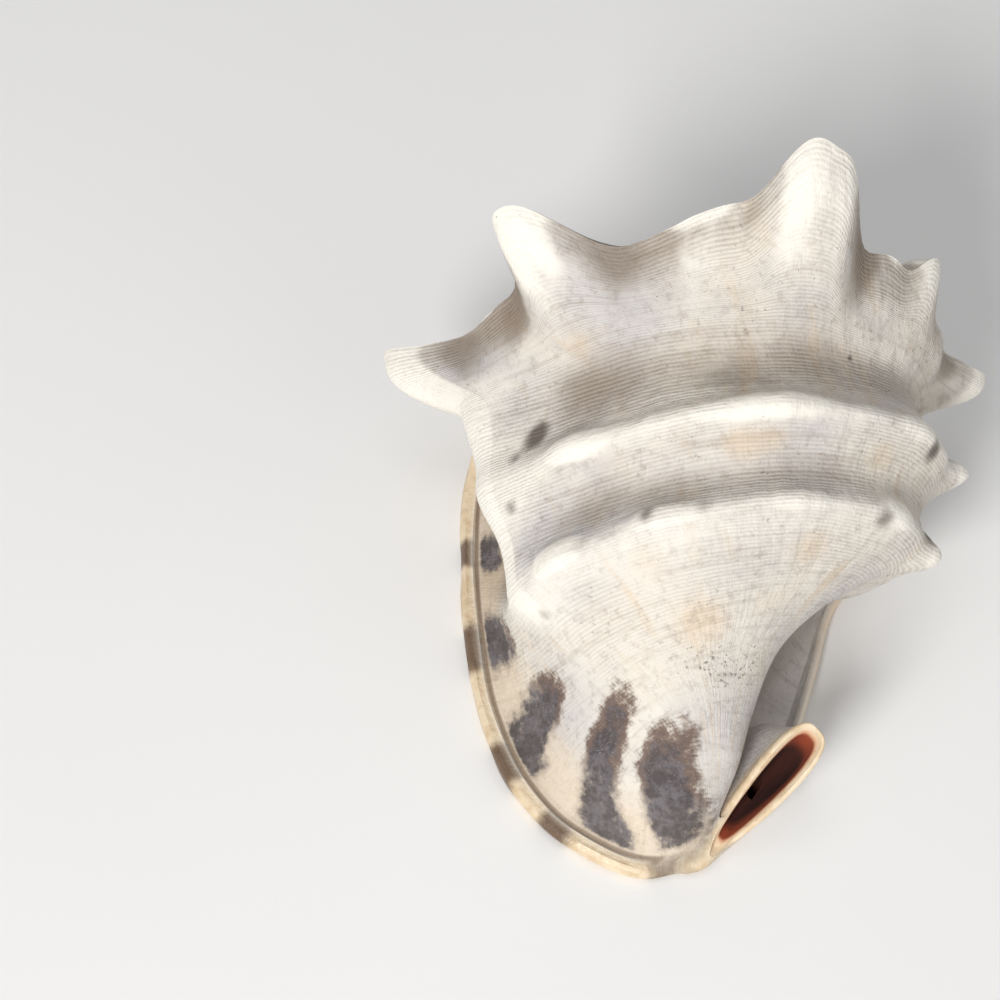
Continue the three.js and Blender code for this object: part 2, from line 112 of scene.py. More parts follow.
def spread(count: int, density: Array) -> Array:
    """Places from nought to one, closer together where the density is higher.

    The density is added up to a running total, and the total is cut in equal parts.

    Args:
        count: How many places.
        density: Samples of the wanted density, evenly spaced from nought to one.

    Returns:
        Sorted places, the first nought and the last one.
    """
    steps = np.linspace(0.0, 1.0, len(density))
    total = np.concatenate([[0.0], np.cumsum((density[1:] + density[:-1]) / 2)])
    return np.interp(np.linspace(0.0, total[-1], count), total, steps)


@dataclass(frozen=True)
class Track:
    """A smooth curve through rows of (knot, values...), with slopes taken from the neighbours."""

    rows: tuple[tuple[float, ...], ...]

    def at(self, knots: Array) -> Array:
        """Values at some knots.

        Args:
            knots: Any shape of knots inside the table.

        Returns:
            Array of that shape with one more axis for the values.
        """
        table = np.asarray(self.rows, float)
        x, y = table[:, 0], table[:, 1:]
        step = np.diff(x)[:, None]
        chord = np.diff(y, axis=0) / step
        slope = np.vstack([chord[:1], np.zeros_like(chord[1:]), chord[-1:]])
        slope[1:-1] = (chord[:-1] * step[1:] + chord[1:] * step[:-1]) / (step[1:] + step[:-1])
        knots = np.asarray(knots, float)
        i = np.clip(np.searchsorted(x, knots, side="right") - 1, 0, len(x) - 2)
        span = (x[i + 1] - x[i])[..., None]
        share = (knots - x[i]) / (x[i + 1] - x[i])
        return hermite(y[i], slope[i] * span, y[i + 1], slope[i + 1] * span, share)


@dataclass(frozen=True)
class Wander:
    """A slow, even irregularity: the mean of a few sine waves in seeded directions."""

    wavelength: float
    seed: int
    waves: int = 7

    def at(self, points: Array) -> Array:
        """Values between about minus one and one at some points.

        Args:
            points: Array of shape (..., 3), in millimetres.

        Returns:
            Array without the last axis.
        """
        rng = np.random.default_rng(self.seed)
        way = unit(rng.normal(size=(self.waves, 3))) * rng.uniform(0.7, 1.5, (self.waves, 1))
        phase = rng.uniform(0.0, 2 * math.pi, self.waves)
        turns = points @ way.T * (2 * math.pi / self.wavelength) + phase
        return np.sin(turns).sum(-1) / math.sqrt(self.waves)


# ---- the coiling axis and the whorl ------------------------------------------------------------
@dataclass(frozen=True)
class Coil:
    """The coiling axis, which rises towards the spire, and how the whorl grows about it."""

    tilt: float = math.radians(12)
    lift: float = 38.0
    growth: float = 0.107
    flare: float = 0.035

    @property
    def turn_ratio(self) -> float:
        """Logarithm of the growth in one whole turn."""
        return 2 * math.pi * self.growth

    def table(self, across: Array, axial: Array, up: Array) -> Array:
        """Points in the table's frame from places across, along and above the coiling axis.

        Args:
            across: Places to the right of the axis.
            axial: Places along the axis, towards the spire.
            up: Places above the axis.

        Returns:
            Points with a last axis of three.
        """
        cos, sin = math.cos(self.tilt), math.sin(self.tilt)
        x, y, z = np.broadcast_arrays(across, axial, up)
        return np.stack([x, y * cos - z * sin, self.lift + y * sin + z * cos], -1)

    def own(self, points: Array) -> tuple[Array, Array, Array]:
        """Places across, along and above the coiling axis from points in the table's frame.

        Args:
            points: Points in the table's frame.

        Returns:
            The three places, each without the last axis.
        """
        cos, sin = math.cos(self.tilt), math.sin(self.tilt)
        y, z = points[..., 1], points[..., 2] - self.lift
        return points[..., 0], y * cos + z * sin, z * cos - y * sin

    def swelling(self, angle: Array) -> Array:
        """Growth factor at an angle from the back, right positive: exp(-growth a), more near the lip."""
        return np.exp(-self.growth * angle + self.flare * np.minimum(angle, 0.0) ** 2)


@dataclass(frozen=True)
class Whorl:
    """The last whorl as stations from the shoulder keel to the front end.

    A row holds: station, radius, axial place, axial drift and its bend per radian, centre across and up, and
    the angles in degrees where the whorl leaves the shield and where it turns into the outer lip.
    """

    coil: Coil = Coil()
    keel: float = 0.2
    keel_radius: float = 83.0
    keel_axial: float = 180.0
    stations: Track = Track((
        (0.20, 83.0, 180, -5, -2.5, 1, 0, 125, -95),
        (0.24, 78.0, 165, -3, -1.5, 4, 0, 126, -90),
        (0.31, 67.5, 147, 0, 0, 7, 0, 126, -84),
        (0.37, 71.5, 130.5, 2, 0, 9, 0, 125, -84),
        (0.41, 77.0, 122, 3, 0, 9, 0, 124, -84),
        (0.50, 67.0, 99.5, 4.5, -0.6, 6, 0, 124, -82),
        (0.54, 71.3, 87.7, 6, -1.6, 3, 0, 125, -80),
        (0.58, 67.5, 80, 6.5, -1, -1, 0, 127, -76),
        (0.64, 56.0, 69, 9, 0, -4, 0, 130, -72),
        (0.71, 42.0, 57, 10, 0, -10, 1, 135, -65),
        (0.79, 29.0, 43, 8, 0, -16, 2, 140, -55),
        (0.87, 19.0, 26, 3, 0, -18, 2, 140, -40),
        (0.93, 13.0, 12, 0, 0, -18, -3, 135, -30),
        (0.97, 8.0, 2, 0, 0, -18, -13, 130, -20),
        (1.00, 4.0, -8, 0, 0, -20, -24, 120, -20),
    ))

    def point(self, station: Array, angle: Array) -> Array:
        """Points of the bare whorl: radius times growth, turned about the axis, drifting along it.

        Args:
            station: Stations from the keel to the front end.
            angle: Angles about the axis from the back, right positive.

        Returns:
            Points in the table's frame.
        """
        radius, axial, drift, bend, across, up, _, _ = np.moveaxis(self.stations.at(station), -1, 0)
        reach = radius * self.coil.swelling(angle)
        return self.coil.table(
            across + reach * np.sin(angle),
            axial + drift * angle + bend * angle**2,
            up + reach * np.cos(angle),
        )

    def ends(self, station: Array) -> tuple[Array, Array]:
        """Angles where the back starts at the right and ends at the left."""
        values = self.stations.at(station)
        return np.radians(values[..., 6]), np.radians(values[..., 7])


@dataclass(frozen=True)
class Horn:
    """A horn or knob that draws the surface out by a bell curve around its root."""

    angle: float
    station: float
    out: float
    back: float
    lip_wide: float
    old_wide: float
    across: float
    bluntness: float

    def reach(self, coil: Coil) -> Array:
        """The draw at the root, away from the axis and towards the spire.

        Args:
            coil: The coiling axis.

        Returns:
            The move of the tip.
        """
        turn = math.radians(self.angle)
        origin = coil.table(0.0, 0.0, 0.0)
        outward = coil.table(math.sin(turn), 0.0, math.cos(turn)) - origin
        spirewards = coil.table(0.0, 1.0, 0.0) - origin
        return outward * self.out + spirewards * self.back

    def root(self, whorl: Whorl) -> tuple[Array, Array]:
        """Root point and the direction of growth there.

        Args:
            whorl: The bare whorl that the horn stands on.

        Returns:
            The point and a unit vector.
        """
        turn = np.array(math.radians(self.angle))
        root = whorl.point(np.array(self.station), turn)
        return root, unit(whorl.point(np.array(self.station), turn - 0.001) - root)


@dataclass(frozen=True)
class Rim:
    """A free edge: its outer line in plan and height, and the radius of its bead."""

    line: Track
    bead: float
    side: float

    def outward(self, station: Array) -> Array:
        """Level directions square to the line, away from the shell.

        Args:
            station: Stations on the line.

        Returns:
            Unit vectors.
        """
        ahead = self.line.at(np.minimum(station + 0.001, 1.0))
        behind = self.line.at(np.maximum(station - 0.001, 0.0))
        way = ahead - behind
        return unit(np.stack([way[..., 1], -way[..., 0], 0 * way[..., 0]], -1)) * self.side

    def core(self, station: Array) -> Array:
        """Centre line of the bead."""
        return self.line.at(station) - self.outward(station) * self.bead


OUTER_LIP = Rim(Track((
    (0.20, -98, 176, 26),
    (0.28, -104, 166, 13),
    (0.36, -107.5, 153, 8.5),
    (0.46, -109, 124, 8),
    (0.58, -106.5, 86, 8),
    (0.69, -100.5, 49.5, 8),
    (0.79, -86, 16, 8),
    (0.87, -67, -4, 8),
    (0.93, -43, -16, 8),
    (0.97, -28, -16, 8),
    (1.00, -16, -11, 9),
)), bead=4.0, side=1.0)

SHIELD = Rim(Track((
    (0.20, 40, 176, 24),
    (0.28, 52, 172, 10),
    (0.38, 57, 148, 6.5),
    (0.50, 48, 116, 6.5),
    (0.60, 37, 96, 7.5),
    (0.70, 30, 73, 8.5),
    (0.80, 22.5, 49, 10),
    (0.87, 16, 30, 11),
    (0.93, 8, 12, 11),
    (0.97, -3, -2, 9),
    (1.00, -14, -9, 9),
)), bead=2.2, side=-1.0)

HORNS = (
    Horn(-97, 0.2, 31, 5, 34, 13, 19, 2),
    Horn(-50, 0.2, 28, 16, 16, 17, 17, 3),
    Horn(12, 0.2, 33, 22, 16, 15, 18, 3.4),
    Horn(-4, 0.2, 14, 10, 34, 18, 17, 2),
    Horn(36, 0.2, 6, 9, 18, 16, 13, 2),
    Horn(52, 0.2, 10, 15, 9, 9, 11, 2.4),
    Horn(68, 0.2, 5, 1, 12, 12, 12, 2),
    Horn(86, 0.2, 21, -2, 9, 9, 11, 2),
    Horn(113, 0.2, 13, 0, 9, 9, 9, 2),
    Horn(-4, 0.41, 5, 0, 22, 16, 8, 2),
    Horn(-58, 0.41, 4, 0, 14, 14, 8, 2),
    Horn(45, 0.41, 3, 0, 12, 12, 8, 2),
    Horn(88, 0.41, 10, 0, 8, 8, 7, 2.6),
    Horn(-31, 0.54, 2.5, 0, 12, 12, 7, 2),
    Horn(-62, 0.54, 3.5, 0, 12, 12, 7, 2),
    Horn(8, 0.54, 2, 0, 12, 12, 7, 2),
    Horn(45, 0.54, 2.5, 0, 10, 10, 7, 2),
    Horn(86, 0.55, 8, -1, 8, 8, 7.5, 2.4),
)


@dataclass(frozen=True)
class Varix:
    """The thick ridge that runs down the shell's left side from the first horn, above the outer lip.

    A row holds: station, angle of the crest in degrees and how far the crest stands out.
    """

    crest: Track = Track((
        (0.20, -97, 0),
        (0.25, -93, 14),
        (0.31, -89, 27),
        (0.37, -87, 20),
        (0.41, -86, 13),
        (0.50, -83, 15),
        (0.54, -81, 5),
        (0.58, -78, 3),
        (0.64, -72, 1),
        (0.71, -65, 0),
        (1.00, -20, 0),
    ))
    lip_wide: float = 13.0
    old_wide: float = 27.0
    depth: float = 48.0

    def swell(self, whorl: Whorl, rings: Array, station: Array) -> Array:
        """How far each point moves: the crest's reach times a bell of the distance along the growth.

        Args:
            whorl: The bare whorl that the ridge stands on.
            rings: Rings of points, one ring for each station.
            station: The stations, shape (rows, 1).

        Returns:
            Moves of the rings' shape.
        """
        angle, reach = np.moveaxis(self.crest.at(station), -1, 0)
        turn = np.radians(angle)
        root = whorl.point(station, turn)
        growing = unit(whorl.point(station, turn - 0.001) - root)
        level = whorl.coil.table(0.0, 0.0, 0.0)
        outward = whorl.coil.table(np.sin(turn), 0.0, np.cos(turn)) - level
        offset = rings - root
        lengthwise = (offset * growing).sum(-1)
        beside = np.linalg.norm(offset - lengthwise[..., None] * growing, axis=-1)
        wide = np.where(lengthwise > 0, self.lip_wide, self.old_wide)
        share = np.exp(-((lengthwise / wide) ** 2) - (beside / self.depth) ** 4)
        return (share * reach)[..., None] * outward


# ---- grids and meshes --------------------------------------------------------------------------
MARKS = (
    "across", "growth", "cords", "edge", "patch", "bar", "under", "rim",
    "hollow", "waist_shading", "spot_and_shade", "pitted", "stain", "depth", "known",
)

# A place holds: angle in degrees, station, radius in millimetres and strength.
Places = tuple[tuple[float, float, float, float], ...]
# Dark spots behind the knobs: partly real brown spots, partly painted shade on the knobs' far sides.
DARK_SPOTS_AND_KNOB_SHADE: Places = (
    (-73, 0.357, 4.0, 1.0), (-75, 0.372, 4.2, 1.1), (-78, 0.398, 3.2, 0.7), (-80, 0.449, 3.2, 0.7),
    (-35, 0.537, 3.6, 0.75), (-20, 0.537, 3.8, 0.5), (-54, 0.541, 5.5, 0.45), (55, 0.434, 5.4, 1.0),
    (38, 0.548, 4.6, 0.8), (24, 0.306, 1.2, 1.0), (-15, 0.348, 9.5, 0.55), (82, 0.385, 5.6, 1.0),
    (80, 0.52, 5.4, 1.0), (-75, 0.607, 3.8, 0.6), (-24, 0.35, 7.0, 0.3), (-5, 0.355, 7.0, 0.3),
)
PITTED: Places = (
    (10, 0.80, 13, 0.9), (-16, 0.78, 9, 0.6), (30, 0.80, 10, 1.0), (-22, 0.265, 8, 0.9),
    (-7, 0.255, 5, 1.0), (46, 0.44, 8, 0.6), (38, 0.56, 8, 0.8), (-12, 0.35, 10, 0.7), (-30, 0.52, 9, 0.5),
)
STAINS: Places = (
    (-55, 0.263, 8, 0.8), (-14, 0.46, 7, 1.0), (-4, 0.455, 7, 0.7), (32, 0.467, 8, 0.7),
    (-16, 0.716, 11, 1.0), (18, 0.615, 9, 0.8), (-35, 0.60, 10, 0.6), (-50, 0.45, 9, 0.5),
    (20, 0.70, 9, 0.5),
)

# A dark patch of the flange holds: middle station, half width in stations, reach inland in millimetres.
DARK_PATCHES = (
    (0.463, 0.032, 24),
    (0.590, 0.044, 31),
    (0.712, 0.043, 43),
    (0.863, 0.036, 64),
    (0.958, 0.033, 66),
)
# A brown bar of the rim holds: middle station and half width in stations.
RIM_BARS = ((0.46, 0.026), (0.60, 0.034), (0.75, 0.03), (0.845, 0.024), (0.96, 0.022))
# Distance given to points that lie away from the outer lip, in millimetres.
FAR_FROM_LIP = 60.0


@dataclass
class Skin:
    """A closed grid of points, rings first, with named marks on every point."""

    rings: Array
    marks: dict[str, Array] = field(default_factory=dict)

    def to_mesh(self, name: str, shift: Array) -> bpy.types.Mesh:
        """Mesh of the rings, closed by a fan at each end, with the marks as point attributes.

        Args:
            name: Name of the mesh.
            shift: Millimetres to add before the change to metres.

        Returns:
            The new mesh.
        """
        count, around = self.rings.shape[:2]
        points = self.rings.reshape(-1, 3)
        poles = np.stack([self.rings[0].mean(0), self.rings[-1].mean(0)])
        corners = np.concatenate([points, poles]) + shift
        row = np.arange(count - 1)[:, None] * around
        i = np.arange(around)[None, :]
        j = (i + 1) % around
        quads = np.stack([row + i, row + j, row + j + around, row + i + around], -1).reshape(-1, 4)
        first, last = count * around, count * around + 1
        top = (count - 1) * around
        fan_in = np.stack([np.full(around, first), j[0], i[0]], -1)
        fan_out = np.stack([np.full(around, last), top + i[0], top + j[0]], -1)
        if self.volume(corners, quads[:, :3], quads[:, [0, 2, 3]], fan_in, fan_out) < 0:
            quads, fan_in, fan_out = quads[:, ::-1], fan_in[:, ::-1], fan_out[:, ::-1]
        mesh = bpy.data.meshes.new(name)
        faces = quads.tolist() + fan_in.tolist() + fan_out.tolist()
        mesh.from_pydata((corners * MM).tolist(), [], faces)
        for mark in MARKS:
            values = self.marks.get(mark, 1.0 if mark == "known" else 0.0)
            flat = np.broadcast_to(values, (count, around)).astype(np.float32)
            ends = np.array([flat[0].mean(), flat[-1].mean()], np.float32)
            layer = mesh.attributes.new(mark, "FLOAT", "POINT")
            layer.data.foreach_set("value", np.concatenate([flat.reshape(-1), ends]))
        mesh.validate()
        return mesh

    @staticmethod
    def volume(corners: Array, *triangles: Array) -> float:
        """Signed volume that lists of triangles close off, as a sum of corner products."""
        a, b, c = (corners[np.concatenate(triangles)[:, k]] for k in range(3))
        return float(np.einsum("ij,ij->i", a, np.cross(b, c)).sum()) / 6


@dataclass
class Exterior:
    """The whole outside of the shell, from the spire's tip to the front end."""

    whorl: Whorl = Whorl()
    lip: Rim = OUTER_LIP
    shield: Rim = SHIELD
    horns: tuple[Horn, ...] = HORNS
    varix: Varix = Varix()
    spire_height: float = 18.0
    spire_dip: float = 5.0
    lip_end: float = math.radians(-126)
    horn_swell: float = 0.5
    whorl_rows: int = 214
    spire_rows: int = 84
    arc_columns: int = 176
    lip_columns: int = 34
    bead_columns: int = 9
    face_columns: int = 24
    hollow_columns: int = 14
    lip_turn: float = 0.60 * math.pi
    shield_turn: float = 0.62 * math.pi
    profile_share: float = 0.57
    girth_row: int = 60

    @property
    def coil(self) -> Coil:
        """The coiling axis."""
        return self.whorl.coil

    def stations(self) -> Array:
        """Stations of the rows, closest at the keel, where the horns stretch the surface.

        Returns:
            Rising stations from the keel to one.
        """
        s = np.linspace(self.whorl.keel, 1.0, 600)
        density = 1.0 + 1.6 * bell(s - self.whorl.keel, 0.05) - 0.25 * ramp(0.6, 0.7, s)
        return self.whorl.keel + (1.0 - self.whorl.keel) * spread(self.whorl_rows, density)

    def arc_shares(self) -> Array:
        """Shares of the way over the back, closer together at each horn.

        Returns:
            Rising shares from nought to one.
        """
        share = np.linspace(0.0, 1.0, 900)
        right, left = (math.degrees(float(end)) for end in self.whorl.ends(np.array(self.whorl.keel)))
        density = np.ones_like(share)
        for horn in self.horns:
            if horn.station == self.whorl.keel:
                place = (right - horn.angle) / (right - left)
                density = density + 0.05 * horn.out * bell(share - place, 0.045)
        return spread(self.arc_columns + 1, density)

    def sections(self, station: Array) -> Array:
        """Closed rings at the stations: back, flange, lip's bead, underside, shield's bead, hollow.

        Args:
            station: Stations of the rings.

        Returns:
            Rings, shape (stations, columns, 3).
        """
        s = station[:, None]
        right, left = self.whorl.ends(s)
        angle = right + (left - right) * self.arc_shares()[None, :]
        back = self.whorl.point(np.broadcast_to(s, angle.shape), angle)

        lip_out, shield_out = self.lip.outward(s), self.shield.outward(s)
        lip_core, shield_core = self.lip.core(s), self.shield.core(s)
        up = np.array([0.0, 0.0, 1.0])

        def on_bead(core: Array, out: Array, radius: float, turn: Array) -> Array:
            """Points on a bead at turns from its outward side."""
            wide = np.asarray(turn)[None, :, None]
            return core + radius * (out * np.cos(wide) + up * np.sin(wide))

        nudge = 0.001
        leaving = self.whorl.point(s, left)
        lip_top = on_bead(lip_core, lip_out, self.lip.bead, np.array([self.lip_turn]))
        reach = np.linalg.norm(lip_top - leaving, axis=-1, keepdims=True)
        pull_off = unit(self.whorl.point(s, left - nudge) - leaving) * reach * 1.1
        pull_on = (lip_out * 0.9 + up * 0.25) * reach * 0.6
        lip_share = spread(self.lip_columns + 1, 1.0 + 1.5 * np.linspace(0, 1, 50) ** 3)[None, 1:]
        flange = hermite(leaving, pull_off, lip_top, pull_on, lip_share)

        foot = -0.5 * math.pi
        lip_turns = np.linspace(self.lip_turn, foot, self.bead_columns + 1)[1:]
        lip_bead = on_bead(lip_core, lip_out, self.lip.bead, lip_turns)
        lip_foot = lip_core - up * self.lip.bead
        shield_foot = shield_core - up * self.shield.bead
        share = np.linspace(0.0, 1.0, self.face_columns + 1)[None, 1:, None]
        face = lip_foot + (shield_foot - lip_foot) * share + up * 5.0 * bell(share - 0.35, 0.14)
        shield_turns = np.linspace(foot, self.shield_turn, self.bead_columns + 1)[1:]
        shield_bead = on_bead(shield_core, shield_out, self.shield.bead, shield_turns)

        shield_top = shield_bead[:, -1:, :]
        arriving = self.whorl.point(s, right)
        span = np.linalg.norm(arriving - shield_top, axis=-1, keepdims=True) * 0.9
        pull_off = (up * 0.2 - shield_out) * span
        pull_on = unit(arriving - self.whorl.point(s, right + nudge)) * span
        hollow_share = np.linspace(0.0, 1.0, self.hollow_columns + 1)[None, 1:-1]
        hollow = hermite(shield_top, pull_off, arriving, pull_on, hollow_share)
        rings = np.concatenate([back, flange, lip_bead, face, shield_bead, hollow], 1)
        return rings + self.varix.swell(self.whorl, rings, s)

    def spire_climb(self, radius: Array, angle: Array) -> Array:
        """Height over the keel's plane: keels on a cone, with a dip and a short wall between them.

        Args:
            radius: Distances from the axis.
            angle: Angles about the axis.

        Returns:
            Heights along the axis.
        """
        whorl = self.whorl
        turned = np.where(angle < self.lip_end, angle + 2 * math.pi, angle)
        keel_here = whorl.keel_radius * np.exp(-self.coil.growth * turned)
        whorls = np.maximum(0.0, np.log(keel_here / radius) / self.coil.turn_ratio)
        part = whorls - np.floor(whorls)
        outer = keel_here * np.exp(-self.coil.turn_ratio * np.floor(whorls))
        inner = outer * math.exp(-self.coil.turn_ratio)
        low = self.spire_height * (1 - outer / whorl.keel_radius)
        high = self.spire_height * (1 - inner / whorl.keel_radius)
        dip = self.spire_dip * np.sin(math.pi * np.minimum(part / 0.86, 1.0)) * outer / whorl.keel_radius
        knobs = 0.05 * inner * np.cos(8 * angle) * ramp(0.86, 1.0, part) * (1 - ramp(30, 46, radius))
        return low + (high - low) * ramp(0.8, 1.0, part) - dip + knobs

    def spire(self, ring: Array, share: Array) -> Array:
        """Rings of the spire end: the keel's ring drawn in towards the axis, evened and then stepped.

        Args:
            ring: The keel's ring, shape (columns, 3).
            share: Shares of the way out from the axis, rising.

        Returns:
            Rings, shape (shares, columns, 3).
        """
        across, axial, up = self.coil.own(ring)
        own_radius, own_angle = np.hypot(across, up), np.arctan2(across, up)
        columns = np.arange(len(ring))
        wrapped = (columns > self.arc_columns) & (own_angle > 0)
        one_way = np.where(wrapped, own_angle - 2 * math.pi, own_angle)
        step = 0.001
        one_way = np.minimum.accumulate(one_way + step * columns) - step * columns
        window = 9
        pad = window // 2
        wide_angle = np.concatenate([one_way[-pad:] + 2 * math.pi, one_way, one_way[:pad] - 2 * math.pi])
        wide_radius = np.concatenate([own_radius[-pad:], own_radius, own_radius[:pad]])
        kernel = np.ones(window) / window
        even_angle = np.convolve(wide_angle, kernel, "valid")[None, :]
        even_radius = np.convolve(wide_radius, kernel, "valid")[None, :]
        share = share[:, None]
        held = ramp(0.8, 1.0, share)
        own_turned = own_angle + np.round((even_angle - own_angle) / (2 * math.pi)) * 2 * math.pi
        angle = even_angle + (own_turned - even_angle) * held
        reach = (even_radius + (own_radius - even_radius) * held) * share
        climb = self.spire_climb(np.maximum(reach, 1.0), np.arctan2(np.sin(angle), np.cos(angle)))
        height = axial * held + (self.whorl.keel_axial + climb) * (1 - held)
        return self.coil.table(reach * np.sin(angle), height, reach * np.cos(angle))

    def drawn_out(self, points: Array, spire_side: Array) -> Array:
        """Points moved by every horn near them.

        Each horn adds its reach times a bell of the distance along the growth and a bell of the distance
        across it. The keel's horns also push what is beside them outwards, which thickens them.

        Args:
            points: Rings of points.
            spire_side: One where a row belongs to the spire end, else nought, shape (rows, 1).

        Returns:
            The moved points.
        """
        moved = points.copy()
        for horn in self.horns:
            root, growing = horn.root(self.whorl)
            offset = points - root
            lengthwise = offset @ growing
            beside = offset - lengthwise[..., None] * growing
            crosswise = np.linalg.norm(beside, axis=-1)
            wide = np.where(lengthwise > 0, horn.lip_wide, horn.old_wide)
            across = horn.across * (1 + 0.3 * spire_side)
            near = (np.abs(lengthwise) / wide) ** horn.bluntness + (crosswise / across) ** 3
            share = np.exp(-near)[..., None]
            moved += share * horn.reach(self.coil)
            if horn.station == self.whorl.keel:
                moved += share * self.horn_swell * beside
        return moved

    def build(self) -> Skin:
        """The finished outside with its marks.

        Returns:
            The outside as a closed grid.
        """
        station = self.stations()
        whorl_rings = self.sections(station)
        share = spread(self.spire_rows + 1, 1.0 + 1.2 * np.linspace(0, 1, 50) ** 4)[1:-1]
        share = np.concatenate([[0.004], share])
        spire_rings = self.spire(whorl_rings[0], share)
        rings = np.concatenate([spire_rings, whorl_rings])
        spire_side = np.concatenate([np.ones(len(share)), np.zeros(len(station))])[:, None]
        rings = self.drawn_out(rings, spire_side)
        spire_station = self.whorl.keel - (1 - share) * self.whorl.keel
        marks = self.mark(rings, np.concatenate([spire_station, station]), len(share))
        return Skin(self.relief(rings, marks), marks)

    def mark(self, rings: Array, station: Array, spire_rows: int) -> dict[str, Array]:
        """Marks that the relief and the finish read.

        Args:
            rings: The outside's points.
            station: Station of each row, below the keel's on the spire end.
            spire_rows: How many rows belong to the spire end.

        Returns:
            One array for each mark, of the grid's shape.
        """
        rows, columns = rings.shape[:2]
        arc = self.arc_columns + 1
        lip = arc + self.lip_columns
        bead = lip + self.bead_columns
        face = bead + self.face_columns
        shield = face + self.bead_columns
        column = np.arange(columns)[None, :]
        grid = np.ones((rows, columns))
        step = np.linalg.norm(np.diff(rings, axis=1), axis=-1)
        run = np.concatenate([np.zeros((rows, 1)), np.cumsum(step, 1)], 1)
        edge = np.abs(run[:, lip - 1][:, None] - run)
        back_column = int(np.argmin(np.abs(self.arc_shares() - self.profile_share)))
        profile = np.linalg.norm(np.diff(rings[:, back_column], axis=0), axis=-1)
        across = np.concatenate([[0.0], np.cumsum(profile)])
        across = (across - across[spire_rows])[:, None] * grid
        girth = run[spire_rows + self.girth_row][None, :]
        growth = np.where(column < shield, girth, (girth[:, -1:] - girth) * 0.5) * grid
        under = (ramp(lip + 4, bead + 1, column) - ramp(face + 3, shield, column)) * grid
        rim = ramp(lip - 3, lip + 1, column) * (1 - ramp(lip + 6, bead + 2, column)) * grid
        cords = (1 - ramp(lip - 6, lip, column) + ramp(shield, shield + 6, column)) * grid
        s = station[:, None]
        cords = cords * (1 - 0.9 * ramp(0.6, 0.84, s)) * (0.35 + 0.65 * ramp(0.0, 30.0, edge))
        patch, bar = self.lip_colour(s, edge, column < lip + 1)
        on_lip = column < bead
        return {
            "across": across,
            "growth": growth,
            "cords": np.clip(cords, 0, 1),
            "edge": edge,
            "patch": np.where(on_lip, patch, 0) * grid,
            "bar": np.where(on_lip | (column < bead + 3), bar, 0) * grid,
            "under": np.clip(under, 0, 1),
            "rim": np.clip(rim, 0, 1),
            "hollow": self.hollowness(rings, 7),
            # Painted shade and highlight: station bands of painted shade plus wide hollowness; high values
            # darken, low values lighten the crests.
            "waist_shading": self.shade(s) + 0.55 * self.hollowness(rings, 20),
            "spot_and_shade": self.spots(rings, DARK_SPOTS_AND_KNOB_SHADE),
            "pitted": np.clip(self.spots(rings, PITTED) + self.tips(rings), 0, 1),
            "stain": self.spots(rings, STAINS),
            "depth": 0 * grid,
        }

    @staticmethod
    def shade(s: Array) -> Array:
        """Painted shade at each station: between the keel's horns and above the two lower rows of knobs."""
        keel, above_first, above_second = bell(s - 0.205, 0.03), bell(s - 0.33, 0.05), bell(s - 0.512, 0.03)
        return 5.0 * keel + 3.4 * above_first + 2.6 * above_second - 1.0

    @staticmethod
    def hollowness(rings: Array, reach: int) -> Array:
        """How far each point lies below its surroundings: positive in hollows, negative on crests.

        Args:
            rings: Rings of points.
            reach: How many rows and columns away the surroundings are.

        Returns:
            Depths in millimetres.
        """
        padded = np.pad(rings, ((reach, reach), (0, 0), (0, 0)), mode="edge")
        ahead, behind = padded[2 * reach :], padded[: -2 * reach]
        around = (np.roll(rings, reach, 1) + np.roll(rings, -reach, 1) + ahead + behind) / 4
        normal = Exterior.outward_normals(rings)
        return ((around - rings) * normal).sum(-1)

    @staticmethod
    def outward_normals(rings: Array) -> Array:
        """Outward unit normals of a grid, from the differences along and down it.

        Args:
            rings: Rings of points.

        Returns:
            Vectors of the rings' shape.
        """
        normal = unit(np.cross(np.roll(rings, -1, 1) - np.roll(rings, 1, 1), np.gradient(rings, axis=0)))
        middle = rings.reshape(-1, 3).mean(0)
        return normal * float(np.sign(((rings - middle) * normal).sum()))

    @staticmethod
    def lip_colour(s: Array, edge: Array, on_flange: Array) -> tuple[Array, Array]:
        """Soft fields of the dark patches on the flange and of the bars on the rim.

        Args:
            s: Station of each row.
            edge: Distance of each point from the lip's edge, in millimetres.
            on_flange: Whether a column belongs to the flange or the back.

        Returns:
            The patches and the bars, from nought to one.
        """
        slant, straight_at = 0.0019, 20
        slanted = s + slant * (edge - straight_at) * ramp(0.6, 0.75, s)
        patch, bars = 0 * edge, 0 * edge
        for centre, half, reach in DARK_PATCHES:
            inland = 1 - ramp(0.45 * reach, 1.3 * reach, edge)
            patch = np.maximum(patch, bell(slanted - centre, half, 3.5) * inland)
        for centre, half in RIM_BARS:
            bars = np.maximum(bars, bell(s - centre, half, 3))
        seaward = ramp(1.0, 4.5, edge) * on_flange
        return patch * seaward, bars

    def spots(self, rings: Array, places: Places) -> Array:
        """Sum of soft round spots.

        Args:
            rings: Rings of points.
            places: Where the spots are, how wide and how strong.

        Returns:
            Strengths from nought to one.
        """
        total = np.zeros(rings.shape[:2])
        for angle, station, width, strength in places:
            centre = self.whorl.point(np.array(station), np.array(math.radians(angle)))
            centre = rings.reshape(-1, 3)[np.argmin(((rings - centre) ** 2).sum(-1))]
            total += strength * bell(np.linalg.norm(rings - centre, axis=-1), width, 2.0)
        return np.clip(total, 0, 1)

    def tips(self, rings: Array) -> Array:
        """Soft spots at the tips of the long horns, where the shell is eaten away.

        Args:
            rings: Rings of points.

        Returns:
            Strengths of the spots.
        """
        total = np.zeros(rings.shape[:2])
        long_horn, strength, width = 12, 0.7, 6.0
        for horn in self.horns:
            if horn.out > long_horn:
                tip = horn.root(self.whorl)[0] + horn.reach(self.coil)
                total += strength * bell(np.linalg.norm(rings - tip, axis=-1), width)
        return total

